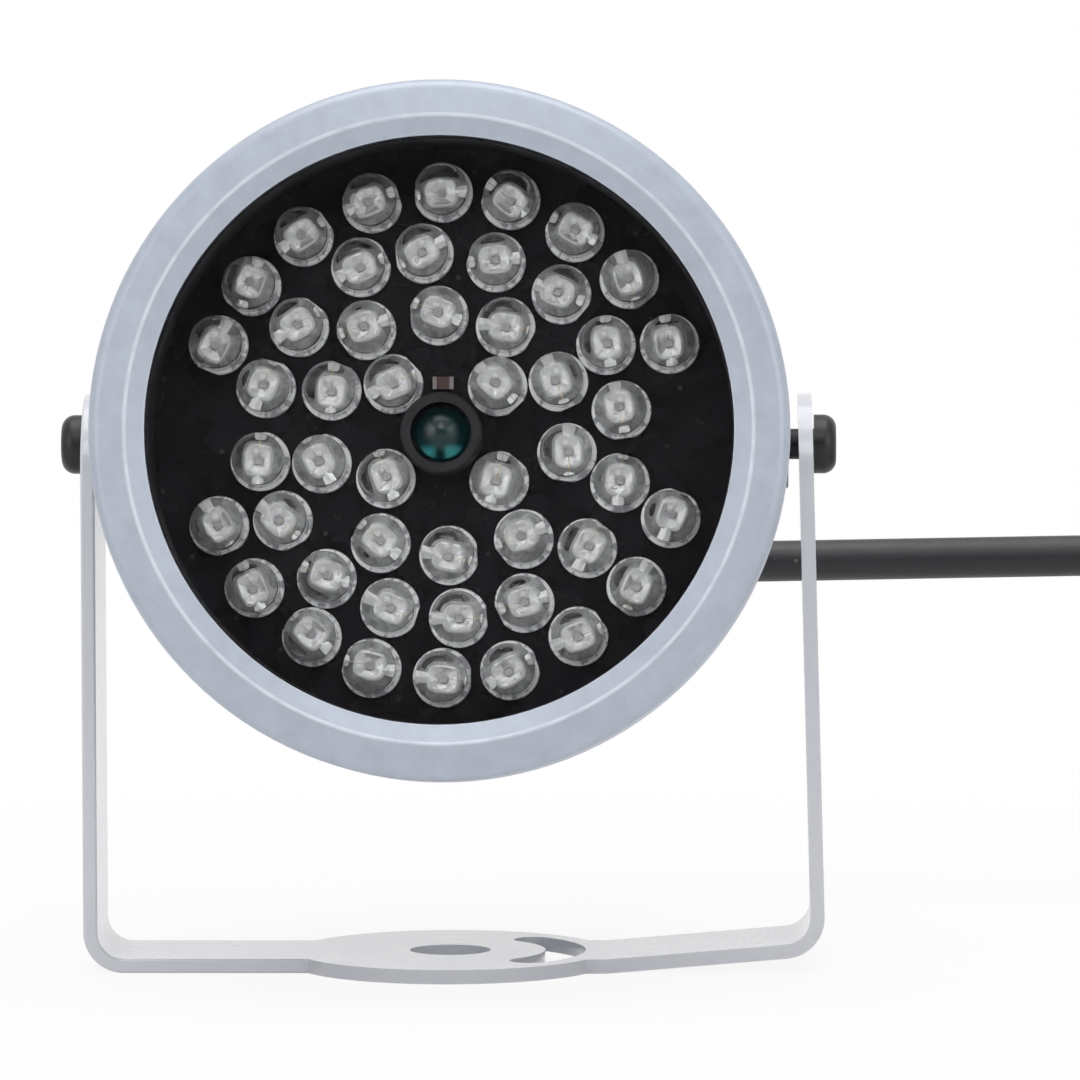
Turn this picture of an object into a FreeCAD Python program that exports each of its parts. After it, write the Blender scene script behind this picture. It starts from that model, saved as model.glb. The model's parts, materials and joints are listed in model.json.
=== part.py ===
import FreeCAD, Part
import math
import os
from FreeCAD import Vector

# Infrared illuminator: a round metal head full of five millimetre lamps, held between the arms
# of a folded bracket, with a short supply cable. Millimetres, Z up, the lamps look along -Y.
# The origin is the centre of the bracket's round foot, on its underside.

# Bracket, one folded strip of sheet steel
strip_thickness = 1.4
strip_width = 15.0
head_side_gap = 0.9
pivot_height = 51.5
arm_above_pivot = 5.0
fold_radius = 3.3
foot_diameter = 31.0
foot_hole_diameter = 8.0
slot_pitch_radius = 11.4
slot_width = 4.0
slot_half_angle = 45.0
right_run_rise = 1.75
right_arm_splay = 1.2
foot_bend_radius = 8.0
sheet_edge_rounding = 0.3

# Head, measured along its own axis from the pivot
head_tilt_up = 7.0
pivot_to_front = 29.0
head_depth = 55.0

# Front bezel ring, screwed over the housing
bezel_diameter = 67.0
bezel_depth = 12.5
band_slope = 0.7
band_corner_radius = 1.3
bezel_back_radius = 0.6
band_width = 3.5
ridge_radius = 0.3
chamfer_width = 1.85
window_recess = 1.1
lip_thickness = 0.6

# Housing, a cast cup with two tapped side bosses
bezel_overhang = 2.3
bezel_skirt_wall = 3.1
spigot_wall = 1.7
barrel_wall = 3.8
back_wall = 3.0
back_corner_radius = 3.0
groove_count = 4
groove_width = 1.7
groove_depth = 1.5
groove_pitch = 3.8
last_groove_to_back = 5.0
boss_diameter = 8.6
boss_draft = 1.2
boss_gap_to_arm = 1.0
boss_end_wall = 2.5

# Pivot screws, M3 pan heads with a cross recess
screw_diameter = 3.0
screw_length = 8.0
screw_head_diameter = 5.8
screw_head_height = 2.2
screw_tip_relief = 1.0
screw_crown_radius = 1.3
screw_tip_radius = 0.3
recess_width = 0.7
recess_span = 2.8
recess_depth = 1.1

# Window, gasket and the black ring that clamps the lamp board
glass_thickness = 2.0
gasket_thickness = 0.6
gasket_width = 1.3
spacer_thickness = 0.5
board_thickness = 1.6
lamp_to_glass = 0.9

# Lamps, five millimetre clear diodes with their legs
lamp_flange_diameter = 5.7
lamp_flange_height = 1.0
lamp_body_diameter = 5.0
lamp_height = 8.7
lamp_leg_width = 0.5
lamp_leg_spacing = 2.54
lamp_leg_tail = 2.0
leg_hole_clearance = 0.1

# Lamp pattern: the rings' radii, and each lamp's bearing and soldered-in offset from its ring
ring_radii = (6.9, 12.0, 17.7, 23.4)
ring_bearings = (
    (42, -39, -143, 134),
    (92, 60, 25, -8, -52, -87, -120, -167, 158, 126),
    (73, 50, 29, 8, -15, -38, -64, -85, -107, -129, -152, -172, 165, 143, 116, 96),
    (90, 74, 57, 40, 22, -20, -38, -56, -74, -90, -107, -123, -141, -158, 158, 142, 125, 107),
)
ring_offsets = (
    (0.2, 0.1, 0.0, 0.0),
    (-0.4, 0.1, 0.3, 0.1, 0.7, -0.4, 0.0, 0.0, -0.4, 0.6),
    (-0.2, 0.1, 0.3, -0.3, 0.0, 0.0, 0.3, 0.0, -0.3, 0.1, -0.2, 0.1, 0.0, -0.3, 0.4, 0.0),
    (0.1, 0.3, 0.0, 0.1, 0.2, 0.0, 0.3, 0.0, 0.2, 0.0, 0.1, -0.2, 0.0, -0.1, 0.0, 0.1, 0.1, 0.1),
)

# Daylight sensor in the middle of the lamps, in its black sleeve
sensor_body_diameter = 5.0
sensor_flange_diameter = 5.8
sensor_height = 7.4
sleeve_outer_diameter = 7.8
sleeve_height = 6.6
sleeve_clearance = 0.05

# Small parts on the board
front_chip_size = (2.0, 0.6, 1.2)
front_chip_offset = 5.1
chip_size = (3.2, 0.6, 1.6)
chip_count = 8
chip_inside_third_ring = 2.8
small_part_inside_outer_ring = 2.8
transistor_leg_pitch = 1.27
transistor_diameter = 4.6
transistor_height = 4.6
part_stand_off = 1.5
diode_diameter = 2.7
diode_length = 5.2
part_leg_width = 0.5

# Cable gland in the back of the housing, below its middle
gland_drop = 10.5
gland_thread_diameter = 8.0
gland_flats = 12.0
gland_flange = 3.0
locknut_thickness = 3.0
gland_tail = 0.6
gland_spigot = 5.5
seal_length = 5.4
seal_wall = 0.9
seal_setback = 1.0
nut_gap = 0.3
nut_hex = 4.5
nut_dome = 3.7
nut_dome_radius = 2.0
nut_mouth_wall = 1.4

# Supply cable, its coil and the socket on its end
cable_diameter = 4.3
cable_inner_length = 8.0
wire_diameter = 1.2
wire_pitch = 1.6
wire_board_pitch = 3.4
wire_board_rise = 1.1
wire_straight_end = 6.5
wire_board_end = 8.0
cable_points = (
    (6.5, 52.7, 35.1),
    (18.6, 59.7, 34.65),
    (44.6, 61.0, 35.0),
    (70.6, 61.0, 35.45),
    (82.4, 60.9, 29.4),
    (89.4, 60.7, 18.3),
    (100.2, 60.6, 12.8),
)
cable_first_run = 13.0
coil_place = (112.5, 38.1)
coil_diameter = 45.0
coil_turns = 2.25
coil_pitch = 4.35
tie_width = 4.0
tie_thickness = 0.5
tie_bearing = 45.0
socket_body_diameter = 10.0
socket_body_length = 24.0
socket_relief_length = 10.0
socket_relief_diameter = 6.6
relief_end_wall = 0.5
relief_groove_pitch = 2.6
relief_groove_width = 1.0
tail_first_run = 9.0
tail_rise_run = 9.5
tail_last_run = 8.5
socket_bore_depth = 9.5
contact_bore = 5.6
contact_wall = 0.25
socket_pin_diameter = 2.1
socket_pin_length = 9.0

# Named clearances
running_fit = 0.1
thread_fit = 0.05
drop_in_fit = 0.1
cable_fit = 0.15
tie_fit = 0.15
head_to_arm = 0.1

# How far a cutting solid reaches past the face it cuts
cut_overshoot = 1.0

# Places along the head's axis, front to back
front_y = -pivot_to_front
back_y = front_y + head_depth
bezel_back_y = front_y + bezel_depth
lip_back_y = front_y + window_recess + lip_thickness
glass_front_y = lip_back_y + gasket_thickness
glass_back_y = glass_front_y + glass_thickness
board_front_y = glass_back_y + lamp_to_glass + lamp_height
board_back_y = board_front_y + board_thickness
cavity_back_y = back_y - back_wall

# Radii that follow from the sizes above
bezel_bore_radius = bezel_diameter / 2 - bezel_skirt_wall
spigot_radius = bezel_bore_radius - running_fit
ridge_line_radius = bezel_diameter / 2 - band_width
window_radius = ridge_line_radius - chamfer_width
barrel_radius = bezel_diameter / 2 - bezel_overhang
cavity_radius = barrel_radius - barrel_wall
seat_radius = spigot_radius - spigot_wall
board_radius = seat_radius - drop_in_fit
chip_ring_radius = ring_radii[2] - chip_inside_third_ring
small_part_radius = ring_radii[3] - small_part_inside_outer_ring
arm_inside = bezel_diameter / 2 + head_side_gap
arm_outside = arm_inside + strip_thickness
boss_face = arm_inside - boss_gap_to_arm
screw_seat = arm_outside + head_to_arm
screw_hole_end = screw_seat - screw_length - screw_tip_relief
cable_radius = cable_diameter / 2
coil_radius = coil_diameter / 2


def place_head(shape):
    """Turns a piece built on the level head axis to the head's rest tilt, at the pivot."""
    placed = shape.copy()
    placed.rotate(Vector(0, 0, 0), Vector(1, 0, 0), -head_tilt_up)
    placed.translate(Vector(0, 0, pivot_height))
    return placed


def corner_arc(before, corner, after, radius):
    """Start, middle and end of the arc that rounds a corner."""
    back = (before - corner).normalize()
    ahead = (after - corner).normalize()
    half = back.getAngle(ahead) / 2
    bisector = (back + ahead).normalize()
    reach = radius / math.tan(half)
    middle = corner + bisector * (radius / math.sin(half) - radius)
    return corner + back * reach, middle, corner + ahead * reach


def rounded_path(points, radii, closed=False):
    """Straight edges through the points, with a tangent arc at each corner that has a radius."""
    count = len(points)
    edges = []
    stops = []
    for n in range(count):
        inner = closed or 0 < n < count - 1
        if inner and radii[n] > 0:
            arc = corner_arc(points[n - 1], points[n], points[(n + 1) % count], radii[n])
            stops.append(arc)
        else:
            stops.append((points[n], None, points[n]))
    for n in range(count):
        start, middle, end = stops[n]
        if middle is not None:
            edges.append(Part.Arc(start, middle, end).toShape())
        if n == count - 1 and not closed:
            break
        following = stops[(n + 1) % count][0]
        if end.distanceToPoint(following) > 1e-6:
            edges.append(Part.LineSegment(end, following).toShape())
    return Part.Wire(edges)


def turned(profile):
    """A solid of revolution about the Y axis from (radius, y, corner radius) points."""
    points = [Vector(r, y, 0) for r, y, _ in profile]
    wire = rounded_path(points, [c for _, _, c in profile], closed=True)
    return Part.Face(wire).revolve(Vector(0, 0, 0), Vector(0, 1, 0), 360)


def tube_ring(outer, inner, start, end):
    """A plain ring about the Y axis."""
    return turned(((outer, start, 0), (outer, end, 0), (inner, end, 0), (inner, start, 0)))


def rod(radius, start, end, x=0.0, z=0.0):
    """A round bar along Y."""
    return Part.makeCylinder(radius, end - start, Vector(x, start, z), Vector(0, 1, 0))


def block(size, centre):
    """A box by its size and its centre."""
    corner = Vector(*centre) - Vector(*size) * 0.5
    return Part.makeBox(*size, corner)


def hexagon_bar(flats, start, end):
    """A hexagonal bar along Y, by its width across flats."""
    radius = flats / 2 / math.cos(math.pi / 6)
    corners = [
        Vector(radius * math.cos(math.pi * k / 3), start, radius * math.sin(math.pi * k / 3))
        for k in range(6)
    ]
    face = Part.Face(Part.makePolygon(corners + corners[:1]))
    return face.extrude(Vector(0, end - start, 0))


def swept_cable(points, diameter, label):
    """A round cable along straight runs joined by the largest arcs that the runs allow."""
    radii = [0.0] * len(points)
    for n in range(1, len(points) - 1):
        back = points[n] - points[n - 1]
        ahead = points[n + 1] - points[n]
        turn = back.getAngle(ahead)
        radii[n] = 0.45 * min(back.Length, ahead.Length) / math.tan(turn / 2)
    path = rounded_path(points, radii)
    start = points[0]
    section = Part.Wire(Part.makeCircle(diameter / 2, start, points[1] - start))
    solid = path.makePipeShell([section], True, True)
    expected = math.pi * diameter**2 / 4 * path.Length
    print(label, "radii", [round(r, 1) for r in radii[1:-1]], "length", round(path.Length, 1))
    print(label, "volume over section times length", round(solid.Volume / expected, 4))
    return solid


def save(name, shape):
    """Writes one node, after checking that it is sound."""
    if not shape.isValid():
        raise ValueError(name + " is not a valid shape")
    shape.exportStep("parts/" + name + ".step")
    print(name, "solids", len(shape.Solids), "volume", round(shape.Volume, 1))


# The bracket


def bracket_centre_line():
    """The strip's middle line, seen from the front, from the left arm's top to the right's."""
    half = strip_thickness / 2
    left = half - arm_outside
    right = arm_outside - half
    top = pivot_height + arm_above_pivot
    lean = right_arm_splay / (pivot_height - half)
    points = [
        Vector(left, 0, top),
        Vector(left, 0, half),
        Vector(foot_diameter / 2, 0, half),
        Vector(right + right_arm_splay, 0, half + right_run_rise),
        Vector(right - lean * arm_above_pivot, 0, top),
    ]
    return points, [0.0, fold_radius, foot_bend_radius, fold_radius, 0.0]


def offset_path(points, radii, shift):
    """The same path moved sideways by shift, its arcs on the same centres."""
    normals = []
    for n in range(len(points) - 1):
        along = (points[n + 1] - points[n]).normalize()
        normals.append(Vector(-along.z, 0, along.x))
    moved = [points[0] + normals[0] * shift]
    for n in range(1, len(points) - 1):
        mean = (normals[n - 1] + normals[n]).normalize()
        stretch = shift / mean.dot(normals[n])
        moved.append(points[n] + mean * stretch)
    moved.append(points[-1] + normals[-1] * shift)
    grown = [r - shift if r > 0 else 0.0 for r in radii]
    return moved, grown


def make_bracket():
    """Folds the strip, rounds the arm ends, adds the round foot and cuts its holes."""
    points, radii = bracket_centre_line()
    half = strip_thickness / 2
    inside = rounded_path(*offset_path(points, radii, half))
    outside = rounded_path(*offset_path(points, radii, -half))
    first = Part.LineSegment(inside.Vertexes[0].Point, outside.Vertexes[0].Point).toShape()
    last = Part.LineSegment(inside.Vertexes[-1].Point, outside.Vertexes[-1].Point).toShape()
    edges = Part.sortEdges(inside.Edges + outside.Edges + [first, last])[0]
    section = Part.Face(Part.Wire(edges))
    section.translate(Vector(0, -strip_width / 2, 0))
    strip = section.extrude(Vector(0, strip_width, 0))

    end_radius = strip_width / 2
    end_centre = pivot_height + arm_above_pivot - end_radius
    reach = 2 * arm_outside
    below_end = (2 * reach, strip_width, end_centre + strip_width)
    arm_outline = block(below_end, (0, 0, end_centre / 2 - end_radius))
    arm_outline = arm_outline.fuse(
        Part.makeCylinder(end_radius, 2 * reach, Vector(-reach, 0, end_centre), Vector(1, 0, 0))
    )
    strip = strip.common(arm_outline)

    foot = Part.makeCylinder(foot_diameter / 2, strip_thickness)
    body = strip.fuse(foot).removeSplitter()
    body = body.cut(foot_slot())
    hole_base = Vector(0, 0, -strip_thickness)
    body = body.cut(Part.makeCylinder(foot_hole_diameter / 2, 3 * strip_thickness, hole_base))
    pivot_hole = Part.makeCylinder(
        screw_diameter / 2 + running_fit, 2 * reach, Vector(-reach, 0, pivot_height), Vector(1, 0, 0)
    )
    body = body.cut(pivot_hole)
    rims = [e for e in body.Edges if is_sheet_rim(e)]
    return body.makeFillet(sheet_edge_rounding, rims)


def is_sheet_rim(edge):
    """True for the long outer edges of the sheet, which the paint rounds."""
    middle = edge.valueAt((edge.FirstParameter + edge.LastParameter) / 2)
    on_strip_side = abs(abs(middle.y) - strip_width / 2) < 1e-3
    upright = abs(edge.tangentAt(edge.FirstParameter).x) < 1e-6
    return on_strip_side and edge.Length > 2 * strip_thickness and middle.z > foot_diameter / 4 and upright


def foot_slot():
    """The curved slot, a band of a ring with round ends, on the right of the foot."""
    depth = 3 * strip_thickness
    base = Vector(0, 0, -strip_thickness)
    outer = Part.makeCylinder(
        slot_pitch_radius + slot_width / 2, depth, base, Vector(0, 0, 1), 2 * slot_half_angle
    )
    inner = Part.makeCylinder(slot_pitch_radius - slot_width / 2, depth, base)
    band = outer.cut(inner)
    band.rotate(Vector(0, 0, 0), Vector(0, 0, 1), -slot_half_angle)
    for side in (-1, 1):
        angle = math.radians(side * slot_half_angle)
        end = Vector(slot_pitch_radius * math.cos(angle), slot_pitch_radius * math.sin(angle), base.z)
        band = band.fuse(Part.makeCylinder(slot_width / 2, depth, end))
    return band


# The head's shells and what they clamp


def make_bezel():
    """The ring round the window: a sloping band, a sharp ridge and a chamfer down to the glass."""
    outer = bezel_diameter / 2
    return turned(
        (
            (ridge_line_radius, front_y, ridge_radius),
            (outer, front_y + band_slope, band_corner_radius),
            (outer, bezel_back_y, bezel_back_radius),
            (bezel_bore_radius, bezel_back_y, 0),
            (bezel_bore_radius, lip_back_y, 0),
            (window_radius, lip_back_y, 0),
            (window_radius, front_y + window_recess, 0),
        )
    )


def make_housing():
    """The cast cup with its thread spigot, board seat, cooling grooves, bosses and cable hole."""
    barrel = barrel_radius
    cup = turned(
        (
            (spigot_radius, glass_back_y, 0.3),
            (spigot_radius, bezel_back_y + running_fit, 0),
            (barrel, bezel_back_y + running_fit, 0),
            (barrel, back_y, back_corner_radius),
            (0, back_y, 0),
            (0, cavity_back_y, 0),
            (cavity_radius, cavity_back_y, barrel_wall / 2),
            (cavity_radius, board_back_y, 0),
            (seat_radius, board_back_y, 0),
            (seat_radius, glass_back_y, 0),
        )
    )
    for n in range(groove_count):
        start = back_y - last_groove_to_back - groove_width - n * groove_pitch
        cup = cup.cut(tube_ring(barrel + groove_depth, barrel - groove_depth, start, start + groove_width))
    for side in (-1, 1):
        cup = cup.fuse(side_boss(side))
    for side in (-1, 1):
        inward = Vector(-side, 0, 0)
        hole_depth = boss_face - screw_hole_end
        mouth = Vector(side * boss_face, 0, 0)
        cup = cup.cut(Part.makeCylinder(screw_diameter / 2 + thread_fit, hole_depth, mouth, inward))
    hole_radius = gland_thread_diameter / 2 + drop_in_fit
    hole_start = cavity_back_y - cut_overshoot
    return cup.cut(rod(hole_radius, hole_start, back_y + cut_overshoot, z=-gland_drop))


def side_boss(side):
    """One tapered boss with a flat face, and the pad behind it that takes the thread."""
    root = screw_hole_end - boss_end_wall
    skirt = barrel_radius - barrel_wall / 2
    radius = boss_diameter / 2
    outward = Vector(side, 0, 0)
    foot = Vector(side * skirt, 0, 0)
    cone = Part.makeCone(radius + boss_draft, radius, boss_face - skirt, foot, outward)
    pad = Part.makeCylinder(radius, skirt - root, Vector(side * root, 0, 0), outward)
    return cone.fuse(pad)


def make_window():
    """The flat clear disc behind the bezel's lip."""
    radius = bezel_bore_radius - drop_in_fit
    return turned(
        (
            (radius, glass_front_y, 0),
            (radius, glass_back_y, 0),
            (0, glass_back_y, 0),
            (0, glass_front_y, 0),
        )
    )


def make_gasket():
    """The flat rubber ring between the lip and the window."""
    outer = bezel_bore_radius - drop_in_fit
    return tube_ring(outer, outer - gasket_width, lip_back_y, glass_front_y)


def make_spacer():
    """The black ring that holds the lamp board on its seat."""
    return tube_ring(board_radius, board_radius - spacer_thickness, glass_back_y, board_front_y)


# The lamps and the board


def lamp_places():
    """Each lamp's (x, z) and bearing, ring by ring, for those that the board has room for."""
    places = []
    room = board_radius - spacer_thickness - lamp_flange_diameter / 2
    for radius, bearings, offsets in zip(ring_radii, ring_bearings, ring_offsets):
        for bearing, offset in zip(bearings, offsets):
            angle = math.radians(bearing)
            r = radius + offset
            if r < room:
                places.append((r * math.cos(angle), r * math.sin(angle), bearing))
    return places


def domed_lamp(body_diameter, flange_diameter, height):
    """A lamp standing at the origin with its dome towards -Y: a round body over a thin flange."""
    radius = body_diameter / 2
    shoulder = radius - height
    dome = Part.makeSphere(radius, Vector(0, shoulder, 0))
    flange = rod(flange_diameter / 2, -lamp_flange_height, 0)
    return rod(radius, shoulder, 0).fuse([dome, flange]).removeSplitter()


def leg_places(x, z, bearing):
    """The two legs of a lamp, side by side across its bearing."""
    across = math.radians(bearing + 90)
    half = lamp_leg_spacing / 2
    return [
        (x + side * half * math.cos(across), z + side * half * math.sin(across))
        for side in (-1, 1)
    ]


def square_legs(places, width, start, end):
    """Square bars along Y at the places given."""
    middle = (start + end) / 2
    return [block((width, end - start, width), (x, middle, z)) for x, z in places]


def make_board():
    """The round circuit board, with a hole for each leg."""
    disc = rod(board_radius, board_front_y, board_back_y)
    places = [leg for place in lamp_places() for leg in leg_places(*place)]
    places += leg_places(0, 0, 90)
    width = lamp_leg_width + 2 * leg_hole_clearance
    holes = square_legs(places, width, board_front_y - cut_overshoot, board_back_y + cut_overshoot)
    return disc.cut(Part.Compound(holes))


def make_lamps():
    """All the lamps, standing on the board."""
    lamp = domed_lamp(lamp_body_diameter, lamp_flange_diameter, lamp_height)
    lamps = []
    for x, z, _ in lamp_places():
        copy = lamp.copy()
        copy.translate(Vector(x, board_front_y, z))
        lamps.append(copy)
    return Part.Compound(lamps)


def make_lamp_legs():
    """The lamps' legs, from the lamp down through the board."""
    places = [leg for place in lamp_places() for leg in leg_places(*place)]
    return Part.Compound(
        square_legs(places, lamp_leg_width, board_front_y, board_back_y + lamp_leg_tail)
    )


def make_sensor():
    """The domed light sensor, a little shorter than the lamps."""
    sensor = domed_lamp(sensor_body_diameter, sensor_flange_diameter, sensor_height)
    sensor.translate(Vector(0, board_front_y, 0))
    return sensor


def make_sleeve():
    """The black sleeve that keeps the lamps' light out of the sensor."""
    inner = sensor_flange_diameter / 2 + sleeve_clearance
    outer = sleeve_outer_diameter / 2
    top = board_front_y - sleeve_height
    return turned(
        ((outer, top, 0.3), (outer, board_front_y, 0), (inner, board_front_y, 0), (inner, top, 0))
    )


def make_chips():
    """The current-limiting chips, in a ring on the back of the board."""
    thick = chip_size[1]
    chips = []
    for n in range(chip_count):
        chip = block(chip_size, (0, board_back_y + thick / 2, chip_ring_radius))
        chip.rotate(Vector(0, 0, 0), Vector(0, 1, 0), 360 * (n + 0.5) / chip_count)
        chips.append(chip)
    return Part.Compound(chips)


def make_transistor():
    """The switching transistor: a round body with one flat, on three legs."""
    radius = transistor_diameter / 2
    start = board_back_y + part_stand_off
    body = rod(radius, start, start + transistor_height, x=small_part_radius)
    middle = (small_part_radius + radius, start + transistor_height / 2, 0)
    flat = block((radius, transistor_height, 2 * radius), middle)
    places = [(small_part_radius, side * transistor_leg_pitch) for side in (-1, 0, 1)]
    legs = square_legs(places, part_leg_width, board_back_y, start + part_leg_width)
    return body.cut(flat).fuse(legs)


def make_diode():
    """The reverse-polarity diode, lying on its two bent legs."""
    height = board_back_y + part_stand_off + diode_diameter / 2
    base = Vector(-small_part_radius, height, -diode_length / 2)
    body = Part.makeCylinder(diode_diameter / 2, diode_length, base, Vector(0, 0, 1))
    reach = diode_length / 2 + 2 * part_leg_width
    places = [(-small_part_radius, side * reach) for side in (-1, 1)]
    legs = square_legs(places, part_leg_width, board_back_y, height + part_leg_width / 2)
    bar_size = (part_leg_width, part_leg_width, 2 * reach + part_leg_width)
    bar = block(bar_size, (-small_part_radius, height, 0))
    return body.fuse(legs + [bar])


# The fasteners and the gland


def make_pivot_screws():
    """Two pan-head screws through the arms into the bosses."""
    screws = []
    for side in (-1, 1):
        screw = pan_head_screw()
        screw.rotate(Vector(0, 0, 0), Vector(0, 0, 1), side * 90)
        screw.translate(Vector(side * screw_seat, 0, 0))
        screws.append(screw)
    return Part.Compound(screws)


def pan_head_screw():
    """A screw with its head towards -Y and the head's underside at zero, with a cross in its top."""
    head = screw_head_diameter / 2
    shank = screw_diameter / 2
    body = turned(
        (
            (0, -screw_head_height, 0),
            (head, -screw_head_height, screw_crown_radius),
            (head, 0, 0),
            (shank, 0, 0),
            (shank, screw_length, screw_tip_radius),
            (0, screw_length, 0),
        )
    )
    bars = [
        block((recess_width, 2 * recess_depth, recess_span), (0, -screw_head_height, 0)),
        block((recess_span, 2 * recess_depth, recess_width), (0, -screw_head_height, 0)),
    ]
    return body.cut(bars)


def lowered(shape):
    """Moves a gland piece from the head's axis down to the cable's hole."""
    moved = shape.copy()
    moved.translate(Vector(0, 0, -gland_drop))
    return moved


flange_back_y = back_y + gland_flange
seal_front_y = flange_back_y + seal_setback
seal_back_y = seal_front_y + seal_length
spigot_end_y = flange_back_y + gland_spigot
nut_front_y = flange_back_y + nut_gap
nut_shoulder_y = nut_front_y + nut_hex
nut_back_y = nut_shoulder_y + nut_dome
thread_end_y = cavity_back_y - locknut_thickness - gland_tail
cable_bore = cable_radius + cable_fit
seal_outer = cable_radius + running_fit + seal_wall


def make_gland_body():
    """The gland's body: a hexagon flange between two threaded stubs, bored for the cable."""
    thread = gland_thread_diameter / 2
    body = hexagon_bar(gland_flats, back_y, flange_back_y)
    body = body.fuse([rod(thread, thread_end_y, back_y), rod(thread, flange_back_y, spigot_end_y)])
    past_end_y = spigot_end_y + cut_overshoot
    body = body.cut(rod(cable_bore, thread_end_y - cut_overshoot, past_end_y))
    return lowered(body.cut(rod(seal_outer + drop_in_fit, seal_front_y, past_end_y)))


def make_gland_seal():
    """The rubber sleeve that grips the cable."""
    return lowered(tube_ring(seal_outer, cable_radius + running_fit, seal_front_y, seal_back_y))


def make_gland_nut():
    """The domed nut that squeezes the seal."""
    flat_radius = gland_flats / 2
    dome = turned(
        (
            (flat_radius, nut_shoulder_y, 0),
            (flat_radius, nut_shoulder_y + nut_dome / 3, nut_dome_radius),
            (cable_bore + nut_mouth_wall, nut_back_y, 0.4),
            (0, nut_back_y, 0),
            (0, nut_shoulder_y, 0),
        )
    )
    nut = hexagon_bar(gland_flats, nut_front_y, nut_shoulder_y).fuse(dome)
    thread = gland_thread_diameter / 2 + running_fit
    bore = rod(thread, nut_front_y - cut_overshoot, seal_back_y + drop_in_fit)
    return lowered(nut.cut([bore, rod(cable_bore, nut_front_y, nut_back_y + cut_overshoot)]))


def make_gland_locknut():
    """The thin hexagon nut inside the housing."""
    nut = hexagon_bar(gland_flats, cavity_back_y - locknut_thickness, cavity_back_y)
    return lowered(nut.cut(rod(gland_thread_diameter / 2 + thread_fit, thread_end_y, back_y)))


# The cable


def make_cable_entry():
    """The end of the cable that the gland holds, inside the housing."""
    return lowered(rod(cable_radius, thread_end_y - cable_inner_length, seal_front_y))


def make_supply_wires():
    """Two wires from the cable's end to the board."""
    start = thread_end_y - cable_inner_length
    wires = []
    for side in (-1, 1):
        near = side * wire_pitch / 2
        far = side * wire_board_pitch / 2
        route = [
            Vector(near, start, -gland_drop),
            Vector(near, start - wire_straight_end, -gland_drop),
            Vector(far, board_back_y + wire_board_end, wire_board_rise - gland_drop),
            Vector(far, board_back_y, wire_board_rise - gland_drop),
        ]
        wires.append(swept_cable(route, wire_diameter, "supply wire"))
    return Part.Compound(wires)


def in_head(y):
    """A point of the gland's axis, placed with the head."""
    point = Part.Vertex(Vector(0, y, -gland_drop))
    return place_head(point).Point


coil_centre = Vector(*coil_place, 0)
coil_base = tie_thickness + cable_radius
coil_top = coil_base + coil_turns * coil_pitch


def cable_route():
    """The cable from the gland, round to the right behind the arm, and down to its coil."""
    return [
        in_head(seal_front_y),
        in_head(seal_front_y + cable_first_run),
        *[Vector(*point) for point in cable_points],
        Vector(coil_centre.x, coil_centre.y + coil_radius, coil_top),
    ]


def tail_route():
    """From the coil's last turn along the floor and up into the socket."""
    x = coil_centre.x + coil_radius
    rise_y = coil_centre.y - tail_first_run
    level_y = rise_y - tail_rise_run
    level = socket_body_diameter / 2
    return [
        Vector(x, coil_centre.y, coil_base),
        Vector(x, rise_y, coil_base),
        Vector(x, level_y, level),
        Vector(x, level_y - tail_last_run, level),
    ]


def make_coil():
    """The outer shape of the put-away turns, which lie on the tie that holds them."""
    bottom = coil_centre + Vector(0, 0, tie_thickness)
    height = coil_top + cable_radius - tie_thickness
    outer = Part.makeCylinder(coil_radius + cable_radius, height, bottom)
    return outer.cut(Part.makeCylinder(coil_radius - cable_radius, height, bottom))


def make_coil_tie():
    """A flat strap round the coil's turns at one place, with its corners rounded."""
    high = coil_top + cable_radius + tie_fit
    across = 2 * (cable_radius + tie_fit)
    middle = (coil_radius, 0, (tie_thickness + high) / 2)
    gap = block((across, 2 * tie_width, high - tie_thickness), middle)
    strap_size = (across + 2 * tie_thickness, tie_width, high + tie_thickness)
    strap = block(strap_size, (coil_radius, 0, (high + tie_thickness) / 2))
    corners = [e for e in strap.Edges if abs(e.tangentAt(0).y) > 0.9]
    strap = strap.makeFillet(2 * tie_thickness, corners).cut(gap)
    strap.rotate(Vector(0, 0, 0), Vector(0, 0, 1), tie_bearing)
    strap.translate(coil_centre)
    return strap


def place_socket(shape):
    """Lays a socket piece, built along +Y from the cable's end, at the end of the tail."""
    placed = shape.copy()
    placed.rotate(Vector(0, 0, 0), Vector(0, 0, 1), 180)
    placed.translate(tail_route()[-1])
    return placed


socket_end_y = socket_relief_length + socket_body_length
socket_floor_y = socket_end_y - socket_bore_depth
contact_outer = contact_bore / 2 + contact_wall


def make_socket_body():
    """The moulded socket: a grooved strain relief, then a round body with the bore in its end."""
    relief = socket_relief_diameter / 2
    body = socket_body_diameter / 2
    shell = turned(
        (
            (cable_radius + relief_end_wall, 0, 0.3),
            (relief, socket_relief_length, 0),
            (body, socket_relief_length, 0.8),
            (body, socket_end_y, 0.5),
            (0, socket_end_y, 0),
            (0, 0, 0),
        )
    )
    for n in range(int(socket_relief_length / relief_groove_pitch)):
        start = relief_groove_pitch * (n + 0.7)
        neck = cable_radius + relief_end_wall
        shell = shell.cut(tube_ring(body, neck, start, start + relief_groove_width))
    shell = shell.cut(rod(contact_outer, socket_floor_y, socket_end_y + cut_overshoot))
    return place_socket(shell)


def make_socket_contact():
    """The metal sleeve that lines the bore."""
    return place_socket(tube_ring(contact_outer, contact_bore / 2, socket_floor_y, socket_end_y - 0.6))


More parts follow.
